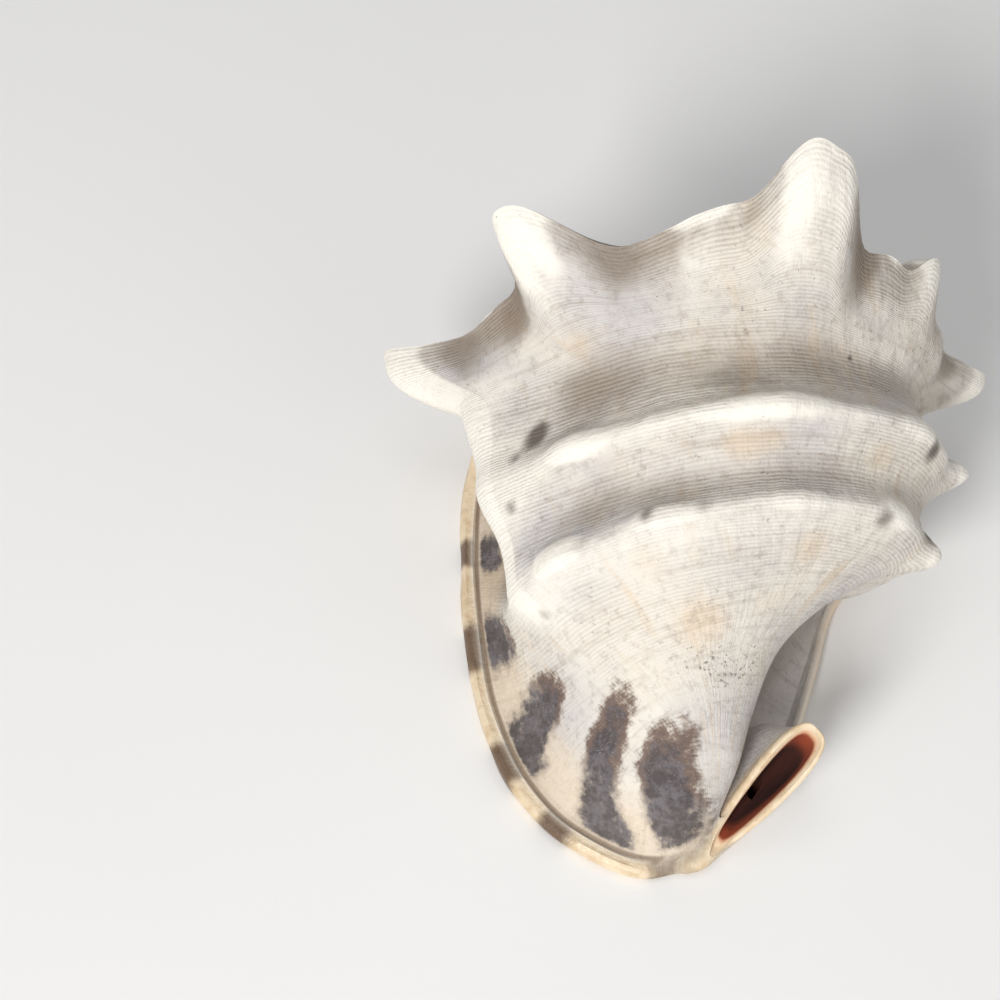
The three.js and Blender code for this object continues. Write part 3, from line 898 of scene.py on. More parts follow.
    def relief(self, rings: Array, marks: dict[str, Array]) -> Array:
        """Rings with spiral bands, growth ridges, the groove inside the lip's bead and slow unevenness.

        Args:
            rings: Rings of points.
            marks: The marks of those points.

        Returns:
            The moved rings.
        """
        band_pitch, ridge_pitch, wave_pitch = 4.1, 9.0, 5.5
        normal = self.outward_normals(rings)
        across, growth, cords, edge = (marks[name] for name in ("across", "growth", "cords", "edge"))
        slow = Wander(46.0, 11).at(rings)
        patchy = 0.5 + 0.5 * Wander(22.0, 3).at(rings)
        bands = 0.11 * cords * patchy * np.sin(2 * math.pi * (across / band_pitch + 0.3 * slow))
        patchy = 0.6 + 0.4 * Wander(30.0, 5).at(rings)
        ridges = 0.16 * cords * np.sin(2 * math.pi * growth / ridge_pitch + 1.7 * slow) * patchy
        near_lip = ramp(2.0, 5.0, edge) * (1 - ramp(18.0, 34.0, edge)) * (1 - marks["under"])
        waves = 0.35 * near_lip * np.sin(2 * math.pi * (edge / wave_pitch + 0.25 * slow))
        groove = -0.9 * bell(edge - 1.2, 0.9) * (1 - marks["under"])
        uneven = 0.45 * slow * (1 - 0.7 * marks["under"])
        lift = bands + ridges + waves + groove + uneven
        return rings + normal * lift[..., None]


@dataclass
class Canal:
    """The siphonal canal: a spout with a rolled mouth, and the bore and passage inside it.

    A ring has a long half axis, from the lip's end up to the loop, and a short one, from the shell outwards.
    """

    mouth: tuple = ((3.0, 3.5, 35.0), (20.0, 10.5, 27.0), (5.6, -6.0, -1.8))
    root: tuple = ((4.0, 17.0, 15.0), (15.0, 8.0, 4.0), (6.0, -7.0, -2.0))
    sides: int = 96
    roundness: float = 0.62
    rim: float = 0.045

    def ring(self, share: Array, long_scale: Array, short_scale: Array, skirt: Array) -> Array:
        """Rings part of the way from root to mouth.

        At a turn t a ring lies at cos t along the long axis. Across it, the middle drifts towards the shell
        and the half width grows towards the loop. The skirt widens the side next to the shell.

        Args:
            share: How far from root to mouth.
            long_scale: Scale of the long axis.
            short_scale: Scale of the half width.
            skirt: Extra width on the shell's side.

        Returns:
            Points, shape (rings, sides, 3).
        """
        root, mouth = np.array(self.root), np.array(self.mouth)
        values = (share, long_scale, short_scale, skirt)
        share, long_scale, short_scale, skirt = (
            np.broadcast_to(value, np.shape(share))[:, None, None] for value in values
        )
        turn = np.linspace(0, 2 * math.pi, self.sides, endpoint=False)[None, :, None]
        along, side = np.cos(turn), np.sin(turn)
        centre, long, short = (root[k] + (mouth[k] - root[k]) * share for k in range(3))
        half = (0.92 + 0.3 * along) * np.sign(side) * np.abs(side) ** self.roundness
        wide = -0.2 - 0.2 * along + half * short_scale * (1 + skirt * (side < 0))
        return centre + long * along * long_scale + short * wide

    def spout(self) -> Skin:
        """Outside of the spout: a skirt that runs into the shell, a wall and a rounded rim, closed.

        Returns:
            Rings from the root to the rim.
        """
        wall_end, wall_rows, rim_rows = 0.94, 30, 9
        wall = np.linspace(0.0, wall_end, wall_rows)
        turn = np.linspace(0.0, math.pi / 2, rim_rows)
        share = np.concatenate([wall, wall_end + (1 - wall_end) * np.sin(turn)])
        tuck = 1 - np.cos(turn)
        long = np.concatenate([1 + 0.2 * (1 - wall) ** 2, 1 - self.rim * tuck])
        short = np.concatenate([np.ones(wall_rows), 1 - 4.2 * self.rim * tuck])
        skirt = np.concatenate([1.5 * (1 - wall) ** 1.8, 0 * turn])
        rings = self.ring(share, long, short, skirt)
        shape = rings.shape[:2]
        rim = ramp(0.72, 0.93, share)[:, None]
        marks = {"rim": np.broadcast_to(rim, shape), "edge": np.full(shape, FAR_FROM_LIP)}
        return Skin(rings, marks)

    def bore(self) -> Skin:
        """The space inside the spout: a flared mouth, narrowing down to the passage.

        Returns:
            Rings from above the mouth down to the foot.
        """
        mouth = [1.3, 1.12, 1.04, 1.0, 0.985, 0.965, 0.94]
        throat = [0.9, 0.8, 0.65, 0.5, 0.4, 0.3, 0.23, 0.2]
        share = np.array(mouth + throat)
        flare = np.array([0.16, 0.16, 0.16, 0.13, 0.085, 0.04, 0.015] + [0.0] * len(throat))
        close = np.sqrt(1 - ramp(0.55, 0.15, share) ** 2)
        long = (0.74 + 0.17 * np.minimum(share, 1) + 0.35 * flare) * close
        short = (0.42 + 0.2 * np.minimum(share, 1) + flare * 1.3) * close
        closed_foot = 0.06
        root_long, mouth_long = np.array(self.root[1]), np.array(self.mouth[1])
        along = root_long + (mouth_long - root_long) * share[:, None, None]
        rings = self.ring(share, long - closed_foot, short, 0.0) + closed_foot * along
        # The finish paints the bore darker further down, as painted shade.
        depth = np.clip((0.985 - share) * 1.7, 0, 1)[:, None]
        shape = rings.shape[:2]
        rim = ramp(0.93, 0.985, share)[:, None]
        return Skin(rings, {"depth": np.broadcast_to(depth, shape), "rim": np.broadcast_to(rim, shape)})

    def bridge(self) -> Skin:
        """The strand that carries the outer lip's bead on into the canal's rim: round rings on a path.

        Returns:
            Rings from the lip to the rim.
        """
        path = Track((
            (0, -26, -11.5, 8.6, 3.6),
            (1, -20, -10.6, 8.9, 3.8),
            (2, -15.6, -7.6, 10.6, 3.4),
            (3, -14.8, -3.4, 14.2, 2.5),
            (4, -11.5, 0.5, 20.0, 1.8),
        ))
        knots = path.at(np.linspace(0, 4, 40))
        middle, radius = knots[:, :3], knots[:, 3:]
        way = unit(np.gradient(middle, axis=0))
        side = unit(np.cross(way, np.array([0.0, 0.0, 1.0])))
        turn = np.linspace(0, 2 * math.pi, 32, endpoint=False)[None, :, None]
        round_ = side[:, None, :] * np.cos(turn) + np.cross(way, side)[:, None, :] * np.sin(turn)
        rings = middle[:, None, :] + radius[:, None, :] * round_
        shape = rings.shape[:2]
        return Skin(rings, {"rim": np.ones(shape), "edge": np.full(shape, FAR_FROM_LIP)})

    def passage(self) -> Skin:
        """The way from the foot of the bore back to the chamber, as round rings.

        Returns:
            Three rings.
        """
        centre = np.array([(3, 15, 16), (-10, 26, 17), (-26, 46, 26)], float)[:, None, :]
        long = np.array([(3, 4, 0), (4, 7, 0), (8, 8, 0)], float)[:, None, :]
        short = np.array([(0, 0, -4.5), (0, 0, -5.5), (0, 0, -8)], float)[:, None, :]
        turn = np.linspace(0, 2 * math.pi, 24, endpoint=False)[None, :, None]
        rings = centre + long * np.cos(turn) + short * np.sin(turn)
        # Depth one: the finish paints the passage in the near-black painted shade.
        return Skin(rings, {"depth": np.ones(rings.shape[:2])})


@dataclass
class Aperture:
    """The slit between the outer lip and the shield: x, y, half width and roof height along it."""

    line: Track = Track((
        (0, -55, 160, 3, 36),
        (1, -62, 144, 5.5, 42),
        (2, -66, 118, 6.5, 44),
        (3, -65, 90, 6.5, 44),
        (4, -58, 62, 6, 40),
        (5, -45, 38, 5, 32),
        (6, -30, 19, 4, 24),
        (7, -20, 5, 3.5, 19),
        (8, -17, -4, 3, 15),
    ))
    steps: int = 190
    tooth_pitch: float = 11.5
    tooth_height: float = 3.2
    fold_pitch: float = 5.2
    fold_height: float = 1.3

    def slit(self) -> Skin:
        """The cutter: a flared mouth below, teeth on the lip's side and folds on the shield's side.

        Each ring is a profile of (offset to the side, height). The lip's side comes in by a row of rounded
        teeth and the shield's side by finer folds, both fading into the shell.

        Returns:
            One ring for each step along the slit.
        """
        knots = np.linspace(0, 8, self.steps)
        x, y, half, roof = self.line.at(knots).T
        ahead = np.gradient(np.stack([x, y], -1), axis=0)
        side = unit(np.stack([ahead[:, 1], -ahead[:, 0], 0 * x], -1))
        run = np.concatenate([[0], np.cumsum(np.hypot(*np.diff(np.stack([x, y], -1), axis=0).T))])
        fade = ramp(6, 22, run) * (1 - ramp(run[-1] - 45, run[-1] - 15, run))
        teeth = 0.5 + 0.75 * np.cos(2 * math.pi * run / self.tooth_pitch)
        tooth = self.tooth_height * fade * np.clip(teeth, 0, 1)
        folds = 0.4 + 0.8 * np.cos(2 * math.pi * run / self.fold_pitch)
        fold = self.fold_height * fade * np.clip(folds, 0, 1)
        heights = np.array([-3.0, 3.0, 6.0, 8.0, 10.0, 12.0, 15.0, 19.0, 26.0])
        flare = np.array([6.5, 5.2, 3.4, 2.0, 1.0, 0.4, 0.0, 0.0, 0.0])
        bite = np.array([0.0, 0.15, 0.75, 1.0, 1.0, 0.9, 0.55, 0.1, 0.0])
        right = half[:, None] + flare - bite * fold[:, None]
        left = -(half[:, None] + flare - bite * tooth[:, None])
        level = np.broadcast_to(heights, right.shape)
        high = roof[:, None] - 2.0
        level = np.minimum(level, high - 0.5 + 0.05 * np.arange(len(heights)))
        half = half[:, None]
        offset = np.concatenate([right, half, 0 * half, -half, left[:, ::-1]], 1)
        z = np.concatenate([level, high, roof[:, None], high, level[:, ::-1]], 1)
        rings = np.stack([x, y, 0 * x], -1)[:, None, :] + offset[..., None] * side[:, None, :]
        rings = rings + z[..., None] * np.array([0.0, 0.0, 1.0])
        # The slit's higher walls get painted shade from this depth.
        depth = np.clip((z - 11.0) / 24.0, 0, 1)
        return Skin(rings, {"depth": depth, "under": 1 - ramp(8.0, 18.0, z)})


@dataclass
class Chamber:
    """The living chamber, which coils round the pillar inside the last whorl."""

    coil: Coil = Coil()
    top: float = 167.0
    foot: float = 45.0
    foot_drift: float = 10.0
    columella: float = 12.0
    neck: float = 22.0
    reach: float = 61.0
    flare: float = 0.027
    lean: tuple[float, float] = (-8.0, 7.0)
    rise: float = 51.0
    sides: int = 40
    steps: int = 70
    start: float = math.radians(-122)
    end: float = math.radians(190)

    @staticmethod
    def fuller(wave: Array) -> Array:
        """A sine or cosine made squarer, so that a ring is a rounded box."""
        squareness = 0.8
        return np.sign(wave) * np.abs(wave) ** squareness

    def space(self) -> Skin:
        """Rings about the axis: rounded boxes in axial place and radius, scaled by the growth.

        Returns:
            One ring for each step round the axis.
        """
        angle = np.linspace(self.start, self.end, self.steps)[:, None]
        turn = np.linspace(0, 2 * math.pi, self.sides, endpoint=False)[None, :]
        scale = np.exp(-self.coil.growth * angle + self.flare * np.minimum(angle, 0) ** 2)
        foot = self.foot + self.foot_drift * np.maximum(angle, 0)
        axial = (self.top + foot) / 2 + (self.top - foot) / 2 * self.fuller(np.cos(turn))
        widened = ramp(0.0, self.rise, axial - foot)
        outer = self.neck + (self.reach - self.neck) * widened
        middle = (outer + self.columella) / 2
        reach = (middle + (outer - middle) * self.fuller(np.sin(turn))) * scale
        lean = self.lean[0] + (self.lean[1] - self.lean[0]) * widened
        rings = self.coil.table(reach * np.sin(angle) + lean, axial, reach * np.cos(angle))
        # Depth one: the finish paints the whole chamber in the near-black painted shade.
        return Skin(rings, {"depth": np.ones(rings.shape[:2])})


# ---- joining and cutting -----------------------------------------------------------------------
class Cut(Enum):
    """How one solid changes another."""

    JOIN = "UNION"
    TAKE = "DIFFERENCE"


def solid_object(mesh: bpy.types.Mesh) -> bpy.types.Object:
    """A linked object of a mesh.

    Args:
        mesh: Its data.

    Returns:
        The new object.
    """
    thing = bpy.data.objects.new(mesh.name, mesh)
    bpy.context.scene.collection.objects.link(thing)
    return thing


def combine(body: bpy.types.Mesh, steps: list[tuple[Cut, bpy.types.Mesh]]) -> bpy.types.Mesh:
    """The body after a list of joins and cuts.

    Args:
        body: The mesh to start from.
        steps: What to do, in order, and with what.

    Returns:
        The new closed mesh.
    """
    base = solid_object(body)
    tools = []
    for cut, mesh in steps:
        tool = solid_object(mesh)
        tools.append(tool)
        change = base.modifiers.new(mesh.name, "BOOLEAN")
        change.operation = cut.value
        change.solver = "MANIFOLD"
        change.object = tool
    graph = bpy.context.evaluated_depsgraph_get()
    result = bpy.data.meshes.new_from_object(base.evaluated_get(graph), depsgraph=graph)
    for thing in [base, *tools]:
        mesh = thing.data
        bpy.data.objects.remove(thing)
        bpy.data.meshes.remove(mesh)
    return result


def read_mark(mesh: bpy.types.Mesh, mark: str) -> Array:
    """A mark's values at every corner.

    Args:
        mesh: The mesh to read.
        mark: The mark's name.

    Returns:
        One value for each corner.
    """
    values = np.empty(len(mesh.vertices), np.float32)
    mesh.attributes[mark].data.foreach_get("value", values)
    return values


def write_mark(mesh: bpy.types.Mesh, mark: str, values: Array) -> None:
    """Sets a mark at every corner."""
    mesh.attributes[mark].data.foreach_set("value", values.astype(np.float32))


def edge_ends(mesh: bpy.types.Mesh) -> tuple[Array, Array]:
    """The corners at the two ends of every edge.

    Args:
        mesh: The mesh to read.

    Returns:
        The first and the second corner of each edge.
    """
    ends = np.empty(len(mesh.edges) * 2, np.int64)
    mesh.edges.foreach_get("vertices", ends)
    return ends[0::2].copy(), ends[1::2].copy()


def neighbour_sum(ends: tuple[Array, Array], values: Array) -> Array:
    """Sum, at each corner, of the values at the other ends of its edges.

    Args:
        ends: The corners at the ends of every edge.
        values: One row for each corner.

    Returns:
        The sums, of the shape of the values.
    """
    a, b = ends
    total = np.zeros(values.shape)
    np.add.at(total, a, values[b])
    np.add.at(total, b, values[a])
    return total


def fill_marks(mesh: bpy.types.Mesh, rounds: int = 4) -> None:
    """Gives the corners that the cuts made the mean marks of their known neighbours.

    Args:
        mesh: The cut mesh.
        rounds: How many edges away from known corners it reaches.
    """
    ends = edge_ends(mesh)
    values = {mark: read_mark(mesh, mark) for mark in MARKS}
    known = (values["known"] > 0.5).astype(np.float32)
    for _ in range(rounds):
        weight = neighbour_sum(ends, known)
        new = (known < 0.5) & (weight > 0)
        for mark in MARKS:
            total = neighbour_sum(ends, known * values[mark])
            values[mark][new] = (total[new] / weight[new]).astype(np.float32)
        known[new] = 1.0
    for mark in MARKS:
        write_mark(mesh, mark, values[mark])


def seam_weight(places: Array, seam: Array, width: float) -> Array:
    """Bell of each corner's distance to the nearest corner of a seam, worked out only near it.

    Args:
        places: All corners.
        seam: The seam's corners.
        width: Width of the bell.

    Returns:
        Weights from nought to one.
    """
    far, batch = 1e6, 2000
    low, high = seam.min(0) - 3 * width, seam.max(0) + 3 * width
    near = np.flatnonzero(((places > low) & (places < high)).all(1))
    gap = np.full(len(places), far)
    for start in range(0, len(near), batch):
        part = near[start : start + batch]
        gap[part] = np.linalg.norm(places[part, None, :] - seam[None, :, :], axis=-1).min(1)
    return bell(gap, width)


def soften_seam(mesh: bpy.types.Mesh, width: float, rounds: int = 60) -> None:
    """Smooths the surface and its marks beside a join, as a fillet would.

    Each round moves every corner half way to the mean of its neighbours, times a bell of its distance to
    the seam. The seam's corners are the ones that the join made, which have no marks yet.

    Args:
        mesh: The joined mesh.
        width: How far from the seam the smoothing reaches, in millimetres.
        rounds: How many times to repeat it.
    """
    count = len(mesh.vertices)
    places = np.empty(count * 3)
    mesh.vertices.foreach_get("co", places)
    places = places.reshape(-1, 3) / MM
    seam = places[read_mark(mesh, "known") < 0.5]
    fill_marks(mesh)
    weight = seam_weight(places, seam, width)
    least = 0.003
    a, b = edge_ends(mesh)
    kept = (weight[a] > least) | (weight[b] > least)
    a, b = a[kept], b[kept]
    marks = [read_mark(mesh, mark)[:, None].astype(float) for mark in MARKS]
    table = np.concatenate([places, *marks], 1)
    degree = np.bincount(a, minlength=count) + np.bincount(b, minlength=count)
    pull = (0.5 * weight / np.maximum(degree, 1))[:, None]
    for _ in range(rounds):
        table += pull * (neighbour_sum((a, b), table) - degree[:, None] * table)
    mesh.vertices.foreach_set("co", (table[:, :3] * MM).reshape(-1))
    for mark, values in zip(MARKS, table[:, 3:].T):
        write_mark(mesh, mark, values)
    write_mark(mesh, "known", np.ones(count))
    mesh.update()


# ---- finishes ----------------------------------------------------------------------------------
def linear(red: float, green: float, blue: float) -> tuple[float, float, float, float]:
    """Linear colour from display values of 0 to 255.

    Args:
        red: Display red.
        green: Display green.
        blue: Display blue.

    Returns:
        Linear red, green and blue, and an alpha of one.
    """
    parts = [channel / 255 for channel in (red, green, blue)]
    out = [c / 12.92 if c <= 0.04045 else ((c + 0.055) / 1.055) ** 2.4 for c in parts]
    return (out[0], out[1], out[2], 1.0)


class Field:
    """A number or colour that varies over the surface, and that sums and products can be made of."""

    def __init__(self, nodes: "Nodes", socket: bpy.types.NodeSocket) -> None:
        """Holds the tree and the socket that gives the field."""
        self.nodes = nodes
        self.socket = socket

    def __add__(self, other: "Field | float") -> "Field":
        """Sum."""
        return self.nodes.math("ADD", self, other)

    def __sub__(self, other: "Field | float") -> "Field":
        """Difference."""
        return self.nodes.math("SUBTRACT", self, other)

    def __rsub__(self, other: float) -> "Field":
        """What is left of a number."""
        return self.nodes.math("SUBTRACT", other, self)

    def __mul__(self, other: "Field | float") -> "Field":
        """Product."""
        return self.nodes.math("MULTIPLY", self, other)

    def step(self, low: float, high: float) -> "Field":
        """Smooth step, which falls where high is below low."""
        inputs = {"Value": self, "From Min": low, "From Max": high}
        return self.nodes.field("ShaderNodeMapRange", "Result", inputs, interpolation_type="SMOOTHSTEP")


class Nodes:
    """A short way to write a material's nodes."""

    def __init__(self, name: str) -> None:
        """Starts a material with an empty tree.

        Args:
            name: The material's name.
        """
        self.material = bpy.data.materials.new(name)
        self.material.use_nodes = True
        self.tree = self.material.node_tree
        self.tree.nodes.clear()
        self.place = self.field("ShaderNodeTexCoord", "Object")

    def add(self, kind: str, inputs: dict | None = None, **settings: object) -> bpy.types.Node:
        """Adds a node.

        Args:
            kind: The node's type name.
            inputs: Values or fields for its inputs, by name or number.
            settings: Properties to set on it.

        Returns:
            The node.
        """
        node = self.tree.nodes.new(kind)
        for key, value in settings.items():
            setattr(node, key, value)
        for key, value in (inputs or {}).items():
            if isinstance(value, Field):
                self.tree.links.new(value.socket, node.inputs[key])
            else:
                node.inputs[key].default_value = value
        return node

    def field(self, kind: str, output: str | int, inputs: dict | None = None, **settings: str) -> Field:
        """One output of a new node."""
        return Field(self, self.add(kind, inputs, **settings).outputs[output])

    def math(self, operation: str, *values: Field | float) -> Field:
        """Result of a Math node."""
        return self.field("ShaderNodeMath", 0, dict(enumerate(values)), operation=operation)

    def mark(self, name: str) -> Field:
        """A point attribute's value."""
        return self.field("ShaderNodeAttribute", "Fac", attribute_name=name)

    def mix(self, share: Field, first: Field | tuple, second: Field | tuple) -> Field:
        """Mix of two colours."""
        return self.field("ShaderNodeMix", 2, {0: share, 6: first, 7: second}, data_type="RGBA")

    def vector(self, x: Field, y: Field) -> Field:
        """A vector of two fields."""
        return self.field("ShaderNodeCombineXYZ", 0, {"X": x, "Y": y})

    def noise(self, scale: float, detail: float, rough: float = 0.55, at: Field | None = None) -> Field:
        """Noise between nought and one, in Object coordinates unless a vector is given."""
        inputs = {"Vector": at or self.place, "Scale": scale, "Detail": detail, "Roughness": rough}
        return self.field("ShaderNodeTexNoise", "Fac", inputs)

    def finish(self, inputs: dict) -> bpy.types.Material:
        """The material, with a shader that has the inputs.

        Args:
            inputs: Values or fields for the shader's inputs.

        Returns:
            The material.
        """
        shader = self.add("ShaderNodeBsdfPrincipled", inputs)
        self.add("ShaderNodeOutputMaterial", {"Surface": Field(self, shader.outputs[0])})
        return self.material


class ShellNodes(Nodes):
    """The shell's nodes, with the marks and noises that several of its colours share."""

    def __init__(self, cord_pitch: float) -> None:
        """Starts the material.

        Args:
            cord_pitch: Distance from one fine cord to the next, in millimetres.
        """
        super().__init__("shell")
        self.cloud = self.noise(45.0, 4.0, 0.6)
        self.grain = self.noise(420.0, 3.0, 0.7)
        self.blotch = self.noise(16.0, 4.0)
        self.across, self.growth, self.edge = (self.mark(name) for name in ("across", "growth", "edge"))
        self.cords, self.under, self.rim = (self.mark(name) for name in ("cords", "under", "rim"))
        self.depth = self.mark("depth")
        self.cord = self.wave(self.across, cord_pitch, self.noise(70.0, 2.0) * 5.0)

    def wave(self, along: Field, pitch: float, drift: Field) -> Field:
        """Sine of a mark at a pitch in millimetres, with its phase moved by a drift."""
        return self.math("SINE", along * (2 * math.pi / pitch) + drift)


@dataclass(frozen=True)
class ShellFinish:
    """Chalky outside with painted shade in its hollows and painted highlights on its crests, glossy
    underside and brown inside that painted shade darkens further in, in display colours and millimetres.
    """

    chalk: tuple = linear(226, 219, 208)
    cool: tuple = linear(204, 200, 199)
    # Crest colour: partly wear, partly painted highlight.
    worn_and_highlight: tuple = linear(244, 239, 229)
    cream: tuple = linear(238, 226, 204)
    # Dust colour for real bands and freckles, and also for painted shade in the waists and keel saddles.
    dust_and_shade: tuple = linear(146, 131, 115)
    # Dirt colour for real pits, and also for painted shade in tight hollows and along the cord lines.
    dirt_and_shade: tuple = linear(118, 102, 87)
    tan: tuple = linear(216, 188, 150)
    # Grime colour for real pits, and also for painted shade behind the knobs.
    grime_and_shade: tuple = linear(70, 56, 46)
    slate: tuple = linear(70, 63, 65)
    slate_light: tuple = linear(116, 112, 118)
    fleck: tuple = linear(178, 172, 174)
    brown: tuple = linear(98, 70, 54)
    gap: tuple = linear(226, 206, 178)
    rim: tuple = linear(230, 211, 181)
    rim_tan: tuple = linear(204, 174, 134)
    bar: tuple = linear(88, 62, 44)
    groove: tuple = linear(104, 80, 58)
    gloss: tuple = linear(238, 206, 172)
    flesh: tuple = linear(214, 148, 100)
    mouth: tuple = linear(232, 190, 152)
    rust: tuple = linear(146, 66, 38)
    # Painted shade deep inside the bore, slit, passage and chamber.
    deep_shade: tuple = linear(60, 24, 15)
    cord_pitch: float = 1.55
    lattice: float = 1.9

    def build(self) -> bpy.types.Material:
        """The material: colour, roughness and bump from the marks and from noise.

        Returns:
            The finished material.
        """
        n = ShellNodes(self.cord_pitch)
        colour = self.body(n)
        for coat in (self.grime_and_shade_marks, self.patches, self.bead, self.underside):
            colour = coat(n, colour)
        rough = n.math("MAXIMUM", n.under, n.rim) * -0.3 + 0.6 + n.grain * 0.12
        rough = rough + n.depth.step(0.05, 0.4) * 0.35
        bump = {"Height": self.height(n), "Strength": 1.0, "Distance": 1.0}
        normal = n.field("ShaderNodeBump", "Normal", bump)
        return n.finish({"Base Color": colour, "Roughness": rough, "Normal": normal, "IOR": 1.52})

    def body(self, n: ShellNodes) -> Field:
        """Chalk with cool clouds, growth streaks, painted shade in the hollows, crests lightened by wear and
        painted highlight, and cord lines darkened partly by painted shade.

        Args:
            n: The nodes to add to.

        Returns:
            The colour of the outside.
        """
        colour = n.mix(n.blotch.step(0.35, 0.68), self.chalk, self.cool)
        streak = n.noise(0.085, 4.0, 0.6, n.vector(n.growth, n.across * 0.22))
        colour = n.mix(streak.step(0.54, 0.72) * 0.4, colour, self.tan)
        band = n.noise(0.24, 3.0, 0.6, n.vector(n.growth * 0.06, n.across))
        colour = n.mix(band.step(0.5, 0.7) * 0.3, colour, self.dust_and_shade)
        stain = n.mark("stain") * (n.cloud + 0.3)
        colour = n.mix(stain.step(0.1, 0.8) * 0.42, colour, self.tan)
        # Painted shade: the waists, the keel's saddles and wide hollows are darkened with the dust colour.
        waist_shading = n.mark("waist_shading") + (n.cloud - 0.5) * 2.0
        sunk = waist_shading.step(-1.0, 6.5)
        colour = n.mix(sunk * 0.8, colour, self.dust_and_shade)
        # Painted shade: tight hollows are darkened with the dirt colour.
        tight = n.mark("hollow") + (n.cloud - 0.5) * 1.4
        colour = n.mix(tight.step(0.3, 2.6) * 0.6, colour, self.dirt_and_shade)
        # Crests lightened, partly by wear and partly as painted highlight.
        crest = n.math("MAXIMUM", waist_shading.step(-2.0, -6.0) * 0.7, tight.step(-0.5, -1.8))
        colour = n.mix(crest, colour, self.worn_and_highlight)
        plain = 1.0 - crest * 0.8
        freckle = n.noise(260.0, 4.0, 0.7)
        colour = n.mix(freckle.step(0.5, 0.68) * (plain * 0.3), colour, self.dust_and_shade)
        # Dark lines between the cords, partly real and partly painted shade, stronger in the shaded waists.
        lines = n.cord.step(0.3, -0.9) * (n.cloud.step(0.28, 0.6) * n.cords) * plain
        colour = n.mix(lines * (sunk * 0.3 + 0.22), colour, self.dirt_and_shade)
        pits = n.grain.step(0.6, 0.72) * (plain * n.cloud.step(0.36, 0.6))
        return n.mix(pits * 0.55, colour, self.dirt_and_shade)

    def grime_and_shade_marks(self, n: ShellNodes, colour: Field) -> Field:
        """The colour with dark pits where the shell is eaten, and with dark spots behind the knobs, partly
        real spots and partly painted shade on the knobs' far sides.

        Args:
            n: The nodes to add to.
            colour: The colour so far.

        Returns:
            The new colour.
        """
        pitted, spot_and_shade = n.mark("pitted"), n.mark("spot_and_shade")
        holes = n.noise(640.0, 2.0, 0.6)
        eaten = pitted * n.cloud.step(0.3, 0.55)
        specks = (holes + eaten * 0.16).step(0.72, 0.84) * pitted.step(0.02, 0.3)
        colour = n.mix(specks * 0.65, colour, self.grime_and_shade)
        rare = holes.step(0.735, 0.775) * n.cords.step(0.2, 0.6)
        colour = n.mix(rare * 0.8, colour, self.grime_and_shade)
        # Dark spots behind the knobs, partly painted shade.
        ragged = n.cloud * 0.35 + n.grain * 0.2
        dark = (spot_and_shade + ragged).step(0.35, 1.25) * spot_and_shade.step(0.03, 0.3)
        return n.mix(dark * 0.85, colour, self.grime_and_shade)

    def patches(self, n: ShellNodes, colour: Field) -> Field:
        """The colour with a cream flange and its slate patches, which end in brown.

        Args:
            n: The nodes to add to.
            colour: The colour so far.

        Returns:
            The new colour.
        """
        patch = n.mark("patch")
        near = n.edge.step(34.0, 12.0) * n.edge.step(0.2, 1.5)
        colour = n.mix(near * 0.55, colour, self.gap)
        warp = n.noise(90.0, 3.0, 0.6) * 16.0
        net = n.wave(n.across, self.lattice, warp) + n.wave(n.growth, self.lattice, warp)
        inland = n.edge.step(16.0, 34.0)
        torn = (n.noise(230.0, 4.0, 0.65) - 0.5) * 1.1
        soft = patch + (n.cloud - 0.5 + torn + net * 0.02 * (inland + 0.25))
        inside = patch.step(0.02, 0.2)
        brown = soft.step(0.1, 0.5) * (inside * (inland * 0.7 + 0.2))
        colour = n.mix(brown, colour, self.brown)
        mottle = n.grain * 0.6 + n.noise(120.0, 3.0) * 0.6
        slate = n.mix(mottle.step(0.5, 0.76) * 0.7, self.slate, self.slate_light)
        flecks = n.noise(0.5, 3.0, 0.6, n.vector(n.growth, n.across * 2.6))
        slate = n.mix(flecks.step(0.6, 0.72) * (inland * 0.75), slate, self.fleck)
        return n.mix(soft.step(0.4, 0.85) * inside * 0.94, colour, slate)

    def bead(self, n: ShellNodes, colour: Field) -> Field:
        """The colour with the cream bead, its brown bars and the dark groove along its inner side.

        Args:
            n: The nodes to add to.
            colour: The colour so far.

        Returns:
            The new colour.
        """
        fine = n.noise(150.0, 3.0)
        line = n.edge.step(0.5, 1.4) * n.edge.step(3.0, 1.8)
        colour = n.mix(line * (0.75 - n.rim), colour, self.groove)
        bead = n.mix(fine.step(0.42, 0.62) * 0.5, self.rim, self.rim_tan)
        wavering = (n.cloud - 0.5) * 1.1 + (fine - 0.5) * 0.5
        bars = (n.mark("bar") + wavering).step(0.25, 0.85)
        bead = n.mix(bars * 0.9, bead, self.bar)
        return n.mix(n.rim, colour, bead)

    def underside(self, n: ShellNodes, colour: Field) -> Field:
        """The colour with the glossy peach underside, the canal's brown inside, and painted shade that
        darkens the bore, the slit's walls and the chamber the deeper they lie.

        Args:
            n: The nodes to add to.
            colour: The colour so far.

        Returns:
            The new colour.
        """
        glossy = n.mix(n.blotch.step(0.3, 0.7), self.gloss, self.cream)
        glossy = n.mix(n.depth.step(0.0, 0.2), glossy, self.flesh)
        colour = n.mix(n.under * (1.0 - n.rim), colour, glossy)
        # The mouth and rust colours are the inside's own; the near-black further in is painted shade.
        inner = ((0.0, 0.08, self.mouth), (0.05, 0.22, self.rust), (0.4, 0.95, self.deep_shade))
        for low, high, coat in inner:
            colour = n.mix(n.depth.step(low, high), colour, coat)
        return colour

